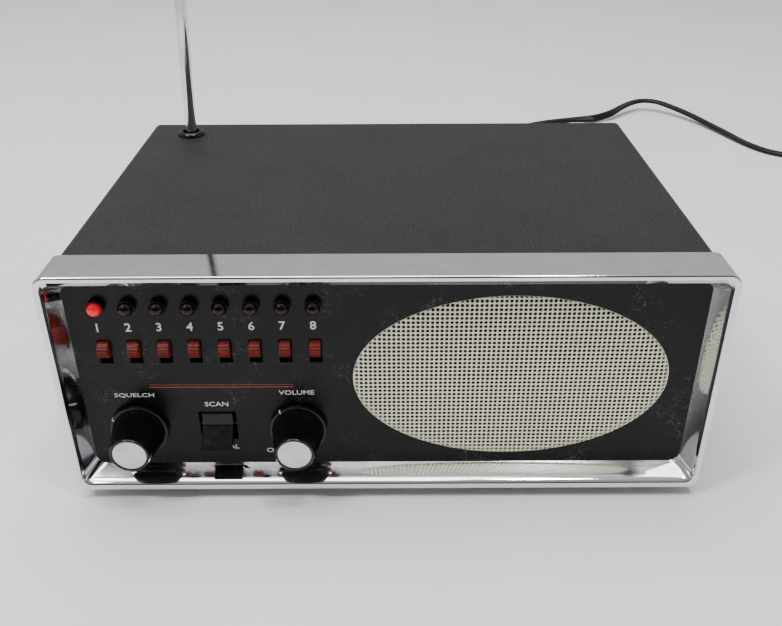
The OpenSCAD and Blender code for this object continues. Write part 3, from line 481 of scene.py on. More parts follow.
BLACK = (0.011, 0.011, 0.012)
CHROME = Chrome("chrome_plate", (0.82, 0.83, 0.85), (0.7, 0.71, 0.73), (0.035, 0.1),
                patch=21, waves=0.05)
ROD_CHROME = Chrome("antenna_chrome", (0.8, 0.81, 0.82), (0.62, 0.62, 0.61), (0.06, 0.18),
                    patch=9, waves=0.006)
NICKEL = Chrome("nickel_plate", (0.66, 0.65, 0.62), (0.5, 0.49, 0.46), (0.16, 0.34),
                patch=8, waves=0.004)
PANEL = Enamel("panel_enamel", (0.003, 0.0034, 0.0034), (0.005, 0.0055, 0.0055), (0.2, 0.34),
               patch=40, grain=0.22, depth=0.006, dust=0.3, specular=0.2)
IVORY = Finish("grille_enamel", (0.95, 0.93, 0.72), (0.9, 0.88, 0.66), (0.36, 0.55),
               patch=16, grain=0.3, depth=0.01, dust=0.0)
VINYL = Leather("cover_vinyl", (0.0095, 0.0115, 0.0128), (0.0135, 0.0158, 0.0172), (0.4, 0.6),
                patch=30, depth=0.17, dust=0.35, specular=0.3)
ZINC = Finish("zinc_sheet", (0.52, 0.53, 0.51), (0.36, 0.37, 0.37), (0.28, 0.48), metallic=0.9,
              patch=14, grain=1.2, depth=0.01)
GREY_STEEL = Finish("grey_steel", (0.3, 0.31, 0.32), (0.22, 0.23, 0.24), (0.35, 0.55),
                    metallic=0.7, patch=12, grain=0.8, depth=0.01)
SCREW = Finish("screw_steel", (0.58, 0.58, 0.57), (0.4, 0.4, 0.38), (0.22, 0.42), metallic=1.0,
               patch=2.5, grain=0.3, depth=0.008)
RUBBER = Finish("foot_rubber", (0.018, 0.018, 0.019), (0.03, 0.03, 0.031), (0.6, 0.78),
                patch=5, grain=0.25, depth=0.03, dust=0.5)
GROMMET = Finish("grommet_rubber", (0.003, 0.003, 0.0035), (0.006, 0.006, 0.0065), (0.16, 0.3),
                 patch=4, grain=0.3, depth=0.012, dust=0.1, specular=0.35)
KNOB = Finish("knob_phenolic", (0.004, 0.004, 0.004), (0.007, 0.007, 0.007), (0.12, 0.24),
              patch=6, grain=0.2, depth=0.006, dust=0.3, specular=0.35)
ROCKER = Finish("rocker_moulding", (0.003, 0.003, 0.0032), (0.006, 0.006, 0.006), (0.1, 0.22),
                patch=5, grain=0.3, depth=0.006, dust=0.4, specular=0.3)
MOULDING = Finish("black_moulding", BLACK, (0.02, 0.02, 0.021), (0.34, 0.5), patch=7,
                  grain=0.3, depth=0.012, dust=0.3)
COLLAR = Finish("lamp_collar", (0.003, 0.003, 0.003), (0.005, 0.005, 0.005), (0.24, 0.4),
                patch=3, grain=0.2, depth=0.01, specular=0.25)
SLIDE = Finish("slide_nylon", (0.27, 0.024, 0.016), (0.19, 0.016, 0.011), (0.36, 0.52),
               patch=1.6, grain=0.25, depth=0.02, dust=0.25)
DARK_LENS = Finish("lens_unlit", (0.006, 0.0006, 0.0009), (0.013, 0.001, 0.0014), (0.03, 0.06),
                   patch=2.0, grain=0.8, depth=0.002, specular=0.3)
LIT_LENS = Glow("lens_lit", (0.8, 0.0, 0.02), (0.4, 0.0, 0.008), reach=3.0, power=0.62,
                centre=(LINES.channel(0), 0, LINES.lamp_z))
INK = Finish("white_ink", (0.86, 0.86, 0.83), (0.66, 0.66, 0.63), (0.45, 0.6), patch=1.1,
             grain=0.15, depth=0.004)
RED_INK = Finish("red_ink", (0.42, 0.06, 0.03), (0.3, 0.045, 0.025), (0.45, 0.6), patch=1.3,
                 grain=0.15, depth=0.004)
POINTER = Finish("pointer_paint", (0.8, 0.78, 0.68), (0.55, 0.53, 0.45), (0.45, 0.6), patch=0.6,
                 grain=0.15, depth=0.01)
CORD = Finish("cord_pvc", (0.005, 0.005, 0.0055), (0.009, 0.009, 0.0095), (0.3, 0.46), patch=12,
              grain=0.5, depth=0.02, dust=0.15, specular=0.25)
TIE = Finish("cord_tie", (0.03, 0.03, 0.032), (0.05, 0.05, 0.052), (0.4, 0.55), patch=2,
             grain=0.4, depth=0.03)
BRASS = Finish("turned_brass", (0.72, 0.53, 0.2), (0.55, 0.38, 0.13), (0.2, 0.38), metallic=1.0,
               patch=4, grain=0.3, depth=0.006)
PAPER = Finish("cone_paper", (0.02, 0.018, 0.016), (0.034, 0.03, 0.026), (0.8, 0.95), patch=3,
               grain=0.4, depth=0.08)
FERRITE = Finish("magnet_ferrite", (0.08, 0.08, 0.085), (0.14, 0.14, 0.15), (0.4, 0.6),
                 metallic=0.3, patch=5, grain=0.3, depth=0.02)
CAN = Finish("tinned_can", (0.66, 0.65, 0.6), (0.5, 0.49, 0.45), (0.2, 0.38), metallic=1.0,
             patch=3, grain=0.5, depth=0.006)
POT = Finish("pot_can", (0.5, 0.5, 0.47), (0.37, 0.37, 0.34), (0.26, 0.44), metallic=1.0,
             patch=5, grain=0.5, depth=0.008)
LAMINATION = Layered("core_laminations", (0.2, 0.19, 0.17), (0.09, 0.085, 0.075), (0.4, 0.6),
                     metallic=0.5, depth=0.05)
TAPE = Layered("winding_tape", (0.55, 0.32, 0.05), (0.4, 0.21, 0.03), (0.22, 0.36), band=2.2,
               depth=0.06)
SLEEVE = Finish("capacitor_sleeve", (0.055, 0.1, 0.26), (0.04, 0.075, 0.2), (0.26, 0.4),
                patch=9, grain=0.6, depth=0.01)
CERAMIC = Finish("chip_ceramic", (0.05, 0.05, 0.055), (0.075, 0.075, 0.08), (0.45, 0.62),
                 patch=3, grain=0.2, depth=0.015)
ANODISED = Finish("anodised_sink", (0.3, 0.31, 0.32), (0.22, 0.23, 0.24), (0.32, 0.5),
                  metallic=0.9, patch=7, grain=0.3, depth=0.01)
BOARD = Board("printed_board", (0.11, 0.15, 0.035), (0.16, 0.2, 0.05), (0.25, 0.42), patch=15,
              grain=0.6, depth=0.03)
SOCKET_PHENOLIC = Finish("socket_phenolic", (0.2, 0.1, 0.045), (0.13, 0.065, 0.03), (0.4, 0.6),
                         patch=2, grain=0.3, depth=0.02)


# ---------------------------------------------------------------- shapes


class Shape:
    """A bmesh in millimetres, with the operator calls that the pieces share."""

    def __init__(self, node: str | None = None) -> None:
        """Starts empty, or from a merged copy of a CAD node.

        Args:
            node: the CAD node to copy, if any.
        """
        self.bm = bmesh.new()
        if node:
            self.bm.from_mesh(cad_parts[node].data)
            bmesh.ops.scale(self.bm, vec=(1 / MM,) * 3, verts=self.bm.verts)
            bmesh.ops.remove_doubles(self.bm, verts=self.bm.verts, dist=2e-3)
            bmesh.ops.dissolve_limit(self.bm, angle_limit=math.radians(0.6),
                                     verts=self.bm.verts, edges=self.bm.edges)

    def added(self, work: Callable[[], object]) -> tuple[list, list, list]:
        """Runs some work and gives the vertices, edges and faces that it made."""
        old = [set(self.bm.verts), set(self.bm.edges), set(self.bm.faces)]
        work()
        now = [self.bm.verts, self.bm.edges, self.bm.faces]
        return tuple([e for e in kind if e not in seen] for kind, seen in zip(now, old))

    def block(self, low: Point, high: Point, bevel: float = 0, segments: int = 2,
              place: Matrix | None = None) -> list[bmesh.types.BMVert]:
        """Adds a box with rounded edges.

        Args:
            low: its low corner.
            high: its high corner.
            bevel: radius of every edge.
            segments: steps of the rounding.
            place: a matrix that moves it afterwards.

        Returns:
            Its vertices.
        """
        low, high = Vector(low), Vector(high)
        matrix = Matrix.LocRotScale((low + high) / 2, None, high - low)

        def work() -> None:
            """Makes the box and rounds it."""
            verts = bmesh.ops.create_cube(self.bm, size=1, matrix=matrix)["verts"]
            if bevel:
                self.bevel({e for v in verts for e in v.link_edges}, bevel, segments)
        verts = self.added(work)[0]
        if place:
            bmesh.ops.transform(self.bm, matrix=place, verts=verts)
        return verts

    def bevel(self, edges: Iterable[bmesh.types.BMEdge], offset: float, segments: int = 2) -> None:
        """Rounds edges."""
        bmesh.ops.bevel(self.bm, geom=list(edges), offset=offset, offset_type="OFFSET",
                        segments=segments, profile=0.5, affect="EDGES", clamp_overlap=True,
                        material=-1)

    def soften(self, offset: float, segments: int = 2, angle: float = 35,
               where: Callable[[Vector], bool] | None = None) -> None:
        """Rounds every edge sharper than an angle.

        Args:
            offset: the radius.
            segments: steps of the rounding.
            angle: the least angle, in degrees.
            where: says from an edge's middle whether to round it.
        """
        sharp = [e for e in self.bm.edges if e.is_manifold
                 and e.calc_face_angle(0) > math.radians(angle)
                 and (where is None or where((e.verts[0].co + e.verts[1].co) / 2))]
        self.bevel(sharp, offset, segments)

    def slab_loop(self, w: float, h: float, r: float, y: float, x: float = 0,
                  z: float = LINES.middle, segments: int = 8) -> list[bmesh.types.BMEdge]:
        """Adds an upright rounded rectangle of edges.

        Args:
            w: width.
            h: height.
            r: corner radius.
            y: its place in depth.
            x: its middle across.
            z: its middle up.
            segments: steps of each corner.

        Returns:
            Its edges.
        """
        def work() -> None:
            """Makes the rectangle and rounds its corners."""
            corners = [self.bm.verts.new((x + sx * w / 2, y, z + sz * h / 2))
                       for sx, sz in ((-1, -1), (1, -1), (1, 1), (-1, 1))]
            self.bm.faces.new(corners)
            bmesh.ops.bevel(self.bm, geom=corners, offset=r, offset_type="OFFSET",
                            segments=segments, profile=0.5, affect="VERTICES", material=-1)
        _, edges, faces = self.added(work)
        bmesh.ops.delete(self.bm, geom=faces, context="FACES_ONLY")
        return edges

    def ellipse(self, a: float, b: float, y: float, x: float, z: float,
                steps: int = 96) -> list[bmesh.types.BMEdge]:
        """Adds an upright ellipse of edges and gives them."""
        place = Matrix.LocRotScale((x, y, z), Matrix.Rotation(math.pi / 2, 3, "X"), (a, b, 1))
        return self.added(lambda: bmesh.ops.create_circle(
            self.bm, cap_ends=False, segments=steps, radius=1, matrix=place))[1]

    def bridge(self, *loops: list[bmesh.types.BMEdge], closed: bool = False) -> None:
        """Joins each loop of edges to the next, and the last to the first if closed."""
        pairs = list(zip(loops, loops[1:]))
        if closed:
            pairs.append((loops[-1], loops[0]))
        for first, second in pairs:
            bmesh.ops.bridge_loops(self.bm, edges=first + second)

    def turned(self, profile: Profile, place: Matrix, steps: int = 64,
               closed: bool = False) -> list[bmesh.types.BMVert]:
        """Spins a profile round its own height.

        Args:
            profile: radius and height of each point.
            place: the matrix that stands it in the frame.
            steps: steps of the full turn.
            closed: whether the last point joins the first.

        Returns:
            The vertices.
        """
        def work() -> None:
            """Makes the profile and spins it."""
            verts = [self.bm.verts.new((r, 0, h)) for r, h in profile]
            ends = verts[1:] + verts[:1] if closed else verts[1:]
            edges = [self.bm.edges.new(pair) for pair in zip(verts, ends)]
            bmesh.ops.spin(self.bm, geom=verts + edges, cent=(0, 0, 0), axis=(0, 0, 1),
                           angle=FULL_TURN, steps=steps, use_merge=True, use_duplicate=False)
        verts = self.added(work)[0]
        bmesh.ops.remove_doubles(self.bm, verts=verts, dist=1e-4)
        verts = [v for v in verts if v.is_valid]
        bmesh.ops.transform(self.bm, matrix=place, verts=verts)
        return verts

    def piece(self, name: str, body: str, finish: Finish, slot: str,
              replaces: Sequence[str] = (), sharp: float = 34) -> bpy.types.Object:
        """Finishes the mesh and makes it a piece that rides on a body.

        Args:
            name: the piece's name.
            body: the CAD body that it rides on.
            finish: its finish.
            slot: not used.
            replaces: the CAD nodes that it stands for.
            sharp: edges past this angle stay sharp, in degrees.

        Returns:
            The piece.
        """
        bmesh.ops.remove_doubles(self.bm, verts=self.bm.verts, dist=1e-4)
        bmesh.ops.recalc_face_normals(self.bm, faces=self.bm.faces)
        bmesh.ops.scale(self.bm, vec=(MM,) * 3, verts=self.bm.verts)
        for face in self.bm.faces:
            face.smooth = True
        mesh = bpy.data.meshes.new(name)
        self.bm.to_mesh(mesh)
        self.bm.free()
        mesh.set_sharp_from_angle(angle=math.radians(sharp))
        return placed(bpy.data.objects.new(name, mesh), body, finish, replaces)


def placed(piece: bpy.types.Object, body: str, finish: Finish,
           replaces: Sequence[str] = (), weighted: bool = True) -> bpy.types.Object:
    """Dresses a new object and makes it ride.

    Args:
        piece: an object whose mesh is in place, in metres.
        body: the CAD body that it rides on.
        finish: its finish.
        replaces: the CAD nodes that it stands for.
        weighted: whether large faces keep their own shading at rounded edges.

    Returns:
        The piece.
    """
    bpy.context.scene.collection.objects.link(piece)
    piece.data.materials.clear()
    piece.data.materials.append(finish.material())
    if weighted:
        modifier = piece.modifiers.new("Flat faces", "WEIGHTED_NORMAL")
        modifier.keep_sharp = True
    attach(piece, body)
    if replaces:
        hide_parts(*replaces)
    log.info("%s rides on %s", piece.name, body)
    return piece


def smooth_line(points: Sequence[Point], steps: int) -> list[Vector]:
    """Passes a smooth curve through points.

    Args:
        points: the points.
        steps: samples from one point to the next.

    Returns:
        The samples.
    """
    p = [Vector(q) for q in points]
    p = [2 * p[0] - p[1], *p, 2 * p[-1] - p[-2]]
    line = []
    for a, b, c, d in zip(p, p[1:], p[2:], p[3:]):
        for k in range(steps):
            t = k / steps
            line.append(0.5 * (2 * b + (c - a) * t + (2 * a - 5 * b + 4 * c - d) * t * t
                               + (3 * b - a - 3 * c + d) * t ** 3))
    return [*line, p[-2]]


# ---------------------------------------------------------------- studio


@dataclass(frozen=True)
class Softbox:
    """A square light that looks at a point."""

    name: str
    place: Point
    aim: Point
    size: float
    watts: float
    colour: Colour = (1, 1, 1)

    def build(self) -> None:
        """Adds the light."""
        data = bpy.data.lights.new(self.name, "AREA")
        data.size, data.energy, data.color = self.size, self.watts, self.colour
        lamp = bpy.data.objects.new(self.name, data)
        lamp.location = self.place
        look = Vector(self.aim) - Vector(self.place)
        lamp.rotation_euler = look.to_track_quat("-Z", "Y").to_euler()
        bpy.context.scene.collection.objects.link(lamp)


@dataclass(frozen=True)
class Studio:
    """The camera, the pale floor and the soft light, in metres."""

    eye: Point = (0.001644, -0.386954, 0.264695)
    pitch: float = 29.965
    yaw: float = -0.006
    roll: float = 0.264
    lens: float = 39.67
    sensor: float = 36.0
    shift: float = -0.00125
    floor: float = 9.0
    dark_front: tuple[float, float] = (-0.8, -0.15)
    lights: tuple[Softbox, ...] = (
        Softbox("ceiling_light", (-0.25, 0.15, 1.7), (0, 0.05, 0), 1.3, 26.0),
        Softbox("left_tube", (-0.75, -0.55, 1.35), (0, 0, 0.05), 0.24, 9.0),
        Softbox("right_tube", (0.32, -0.35, 1.5), (0, 0, 0.05), 0.16, 6.0),
    )

    def camera(self) -> None:
        """Stands the camera at its place."""
        data = bpy.data.cameras.new("camera")
        data.lens, data.sensor_width = self.lens, self.sensor
        data.shift_y = self.shift
        data.clip_start, data.clip_end = 0.02, 30
        eye = bpy.data.objects.new("camera", data)
        turn = (Matrix.Rotation(math.radians(-self.yaw), 4, "Z")
                @ Matrix.Rotation(math.radians(90 - self.pitch), 4, "X")
                @ Matrix.Rotation(math.radians(-self.roll), 4, "Z"))
        eye.location = self.eye
        eye.rotation_euler = turn.to_euler()
        bpy.context.scene.collection.objects.link(eye)
        bpy.context.scene.camera = eye

    def ground(self) -> None:
        """Lays the floor."""
        bm = bmesh.new()
        bmesh.ops.create_grid(bm, x_segments=2, y_segments=2, size=self.floor / 2)
        mesh = bpy.data.meshes.new("floor")
        bm.to_mesh(mesh)
        bm.free()
        floor = bpy.data.objects.new("floor", mesh)
        mesh.materials.append(Finish("floor_paper", (0.86, 0.86, 0.865), (0.82, 0.82, 0.825),
                                     (0.6, 0.75), patch=160, grain=60, depth=0.9,
                                     specular=0.25).material())
        bpy.context.scene.collection.objects.link(floor)

    def sky(self) -> None:
        """Fills the room with soft light, paler above than in front."""
        world = bpy.data.worlds.new("room")
        bpy.context.scene.world = world
        world.use_nodes = True
        nodes, links = world.node_tree.nodes, world.node_tree.links
        back = nodes["Background"]
        split = nodes.new("ShaderNodeSeparateXYZ")
        links.new(nodes.new("ShaderNodeTexCoord").outputs["Generated"], split.inputs[0])
        height = nodes.new("ShaderNodeMapRange")
        links.new(split.outputs[2], height.inputs[0])
        height.inputs[1].default_value, height.inputs[2].default_value = -0.2, 0.7
        height.inputs[3].default_value, height.inputs[4].default_value = 0.42, 0.62
        front = nodes.new("ShaderNodeMapRange")
        links.new(split.outputs[1], front.inputs[0])
        front.inputs[1].default_value, front.inputs[2].default_value = self.dark_front
        front.inputs[3].default_value, front.inputs[4].default_value = 0.1, 1.0
        shade = nodes.new("ShaderNodeMath")
        shade.operation = "MULTIPLY"
        links.new(height.outputs[0], shade.inputs[0])
        links.new(front.outputs[0], shade.inputs[1])
        links.new(shade.outputs[0], back.inputs["Color"])
        back.inputs["Strength"].default_value = 1.0

    def build(self) -> None:
        """Sets the whole studio."""
        self.camera()
        self.ground()
        self.sky()
        for light in self.lights:
            light.build()


# ---------------------------------------------------------------- mains cord


@dataclass
class MainsCord:
    """The flat twin cord, its relief, coil, tie and plug."""

    width: float = 7.1
    thickness: float = 3.6
    route: tuple[Point, ...] = (
        (96, 117, 24), (96, 134, 22), (96, 152, 13), (96, 172, 4.5), (96, 195, 2),
        (95, 225, 2), (92, 260, 2), (89, 295, 2), (87, 330, 2), (88, 362, 2), (95, 392, 2),
        (112, 415, 2), (136, 431, 2), (160, 443, 2), (184, 450, 2), (204, 448, 4),
        (220, 455, 6), (235, 470, 8), (248, 482, 9), (261, 486, 10), (274, 481, 10),
        (287, 468, 8), (299, 450, 6), (309, 430, 4), (318, 406, 3), (326, 383, 2),
        (334, 364, 2), (344, 351, 2), (358, 343, 2), (378, 338, 2), (400, 337.3, 2))
    route_steps: int = 8
    coil: tuple[float, float] = (400, 291)
    outer_turn: float = 46.3
    turn_pitch: float = 7.3
    layer_turns: float = 2.0
    step_turns: float = 0.25
    layers: tuple[float, float] = (2.0, 5.9)
    turn_steps: int = 72
    plug_back: float = 274
    plug_height: float = 6.5
    twist_at: Point = (211, 450, 5)
    twist_reach: float = 17
    twist: float = 72
    lobe: float = 1.8

    def coil_point(self, turn: float) -> Vector:
        """Gives the cord's middle in the coil, so many turns from where it enters."""
        down, up = self.layers
        rise = self.layer_turns + self.step_turns
        if turn <= self.layer_turns:
            r, z = self.outer_turn - self.turn_pitch * turn, down
        elif turn < rise:
            s = (turn - self.layer_turns) / self.step_turns
            r = self.outer_turn - self.turn_pitch * self.layer_turns
            z = down + (up - down) * s * s * (3 - 2 * s)
        else:
            r, z = self.outer_turn - self.turn_pitch * (rise + self.layer_turns - turn), up
        angle = math.pi / 2 - FULL_TURN * turn
        x, y = self.coil
        return Vector((x + r * math.cos(angle), y + r * math.sin(angle), z))

    def line(self) -> list[Vector]:
        """Gives the whole centreline, in millimetres."""
        points = smooth_line(self.route, self.route_steps)
        turns = 2 * self.layer_turns + self.step_turns
        count = round(turns * self.turn_steps)
        points += [self.coil_point(turns * k / count) for k in range(1, count + 1)]
        end = Vector((self.coil[0] + self.outer_turn, self.plug_back, self.plug_height))
        last = points[-1]
        return points + [last.lerp(end, k / 4) for k in range(1, 5)]

    def section(self) -> bpy.types.Object:
        """Gives the closed outline of the two moulded conductors, as a curve."""
        half = self.width / 2 - self.lobe
        outline = []
        for side in (1, -1):
            for k in range(9):
                a = math.radians(-115 + 230 * k / 8)
                outline.append((side * (half + self.lobe * math.cos(a)),
                                side * self.lobe * math.sin(a)))
            outline.append((0, side * self.lobe * 0.72))
        curve = bpy.data.curves.new("cord_section", "CURVE")
        spline = curve.splines.new("POLY")
        spline.points.add(len(outline) - 1)
        for point, (x, y) in zip(spline.points, outline):
            point.co = (x * MM, y * MM, 0, 1)
        spline.use_cyclic_u = True
        section = bpy.data.objects.new("cord_section", curve)
        bpy.context.scene.collection.objects.link(section)
        return section

    def build_cord(self) -> tuple[bpy.types.Object, list[Vector]]:
        """Sweeps the section along the line.

        Returns:
            The cord's piece and the line that it follows, in metres.
        """
        line = [p * MM for p in self.line()]
        section = self.section()
        curve = bpy.data.curves.new("cord_line", "CURVE")
        curve.dimensions, curve.twist_mode = "3D", "Z_UP"
        curve.bevel_mode, curve.bevel_object = "OBJECT", section
        curve.use_fill_caps = True
        spline = curve.splines.new("POLY")
        spline.points.add(len(line) - 1)
        for point, place in zip(spline.points, line):
            point.co = (*place, 1)
            off = (place / MM - Vector(self.twist_at)).length / self.twist_reach
            point.tilt = math.radians(self.twist) * math.exp(-off * off)
        swept = bpy.data.objects.new("cord_line", curve)
        bpy.context.scene.collection.objects.link(swept)
        bpy.context.view_layer.update()
        graph = bpy.context.evaluated_depsgraph_get()
        mesh = bpy.data.meshes.new_from_object(swept.evaluated_get(graph))
        for made in (swept, section):
            bpy.data.objects.remove(made)
        for polygon in mesh.polygons:
            polygon.use_smooth = True
        mesh.set_sharp_from_angle(angle=math.radians(50))
        mesh.name = "mains_cord"
        cord = placed(bpy.data.objects.new("mains_cord", mesh), "case", CORD,
                      ("power_cord", "cord_coil"), weighted=False)
        return cord, line

    def build_relief(self) -> bpy.types.Object:
        """Turns the tapered, ribbed strain relief."""
        shape = Shape()
        rear, end, big, small = LINES.rear, 117.0, 6.6, 4.4
        outline = [(5.6, LINES.rear_inner - 8), (5.6, LINES.rear_inner), (6.6, LINES.rear_inner),
                   (6.6, rear), (8.5, rear), (8.5, rear + 2.0), (8.0, rear + 2.5)]
        ribs, start = 6, rear + 3.2
        for k in range(ribs):
            low = start + (end - start) * k / ribs
            high = low + (end - start) / ribs
            r0, r1 = (big + (small - big) * (h - rear) / (end - rear) for h in (low, high))
            outline += [(r0, low), (r1, high - 1.2), (r1 - 0.7, high - 0.9), (r1 - 0.7, high - 0.2)]
        outline += [(small - 0.5, end), (0, end)]
        shape.turned([(0, LINES.rear_inner - 8), *outline], Axis.BACK.at(96, 0, 24), 48)
        return shape.piece("cord_relief", "case", CORD, "cord_pvc", ("strain_relief",))

    def build_plug(self) -> bpy.types.Object:
        """Moulds the plug, its finger grips and its own relief."""
        shape = Shape()
        x, back, middle = self.coil[0] + self.outer_turn, self.plug_back, self.plug_height
        waist, nose = back - 16, back - 40
        verts = shape.block((x - 12, nose, 0), (x + 12, waist, 13))
        for v in verts:
            if v.co.y > waist - 1:
                v.co.x = x + (v.co.x - x) * 0.5
            else:
                v.co.x = x + (v.co.x - x) * 0.84
        cut = [e for e in {e for v in verts for e in v.link_edges}
               if abs(e.verts[0].co.y - e.verts[1].co.y) > 1]
        made = bmesh.ops.subdivide_edges(shape.bm, edges=cut, cuts=1)["geom_inner"]
        for v in made:
            if isinstance(v, bmesh.types.BMVert):
                v.co.x = x + math.copysign(12, v.co.x - x)
                v.co.y = waist - 8
        shape.soften(1.6, 3, 20)
        for side in (-1, 1):
            for k in range(4):
                y = waist - 11.5 - k * 3.2
                edge = x + side * (11.75 - 0.45 * k)
                shape.block((edge - 0.55, y - 0.7, 2.4), (edge + 0.25, y + 0.7, 10.6), 0.3)
        outline = [(0, back), (3.6, back)]
        for k in range(5):
            y0, y1 = back - 0.6 - 3 * k, back - 0.6 - 3 * (k + 1)
            r = 4.0 + 0.3 * k
            outline += [(r, y0), (r + 0.2, y1 + 1.0), (r - 0.6, y1 + 0.8), (r - 0.6, y1 + 0.1)]
        outline += [(5.4, waist - 1), (0, waist - 1)]
        shape.turned(outline, Axis.BACK.at(x, 0, middle), 32)
        return shape.piece("plug_moulding", "case", CORD, "cord_pvc", ("plug_body",))

    def build_blades(self) -> bpy.types.Object:
        """Cuts the two brass blades, with rounded ends."""
        shape = Shape()
        x, nose = self.coil[0] + self.outer_turn, self.plug_back - 40
        for side in (-1, 1):
            at = x + side * 6.35
            shape.block((at - 0.75, nose - 17.5, self.plug_height - 3.17),
                        (at + 0.75, nose + 5, self.plug_height + 3.17), 0.45, 2)
        return shape.piece("plug_brass_blades", "case", BRASS, "brass", ("plug_blades",))

    def build_tie(self) -> bpy.types.Object:
        """Wraps a thin band round the coil's turns."""
        shape = Shape()
        angle = math.radians(205)
        middle = (self.outer_turn + self.outer_turn - self.turn_pitch * self.layer_turns) / 2
        place = (Matrix.Translation((self.coil[0], self.coil[1], 0))
                 @ Matrix.Rotation(angle, 4, "Z"))
        loops = [shape.slab_loop(w, h, r, y, middle, 4.0, 5)
                 for w, h, r, y in ((22.6, 7.9, 2.2, -2.6), (22.6, 7.9, 2.2, 2.6),
                                    (21.8, 7.1, 1.8, 2.6), (21.8, 7.1, 1.8, -2.6))]
        shape.bridge(*loops, closed=True)
        shape.block((middle + 8, -2.2, 7.6), (middle + 17, 2.2, 8.3), 0.3)
        bmesh.ops.transform(shape.bm, matrix=place, verts=shape.bm.verts)
        return shape.piece("coil_tie", "case", TIE, "cord_pvc")

    def build(self) -> None:
        cord, line = self.build_cord()
        relief, plug = self.build_relief(), self.build_plug()
        blades, tie = self.build_blades(), self.build_tie()
        del relief


# ---------------------------------------------------------------- case


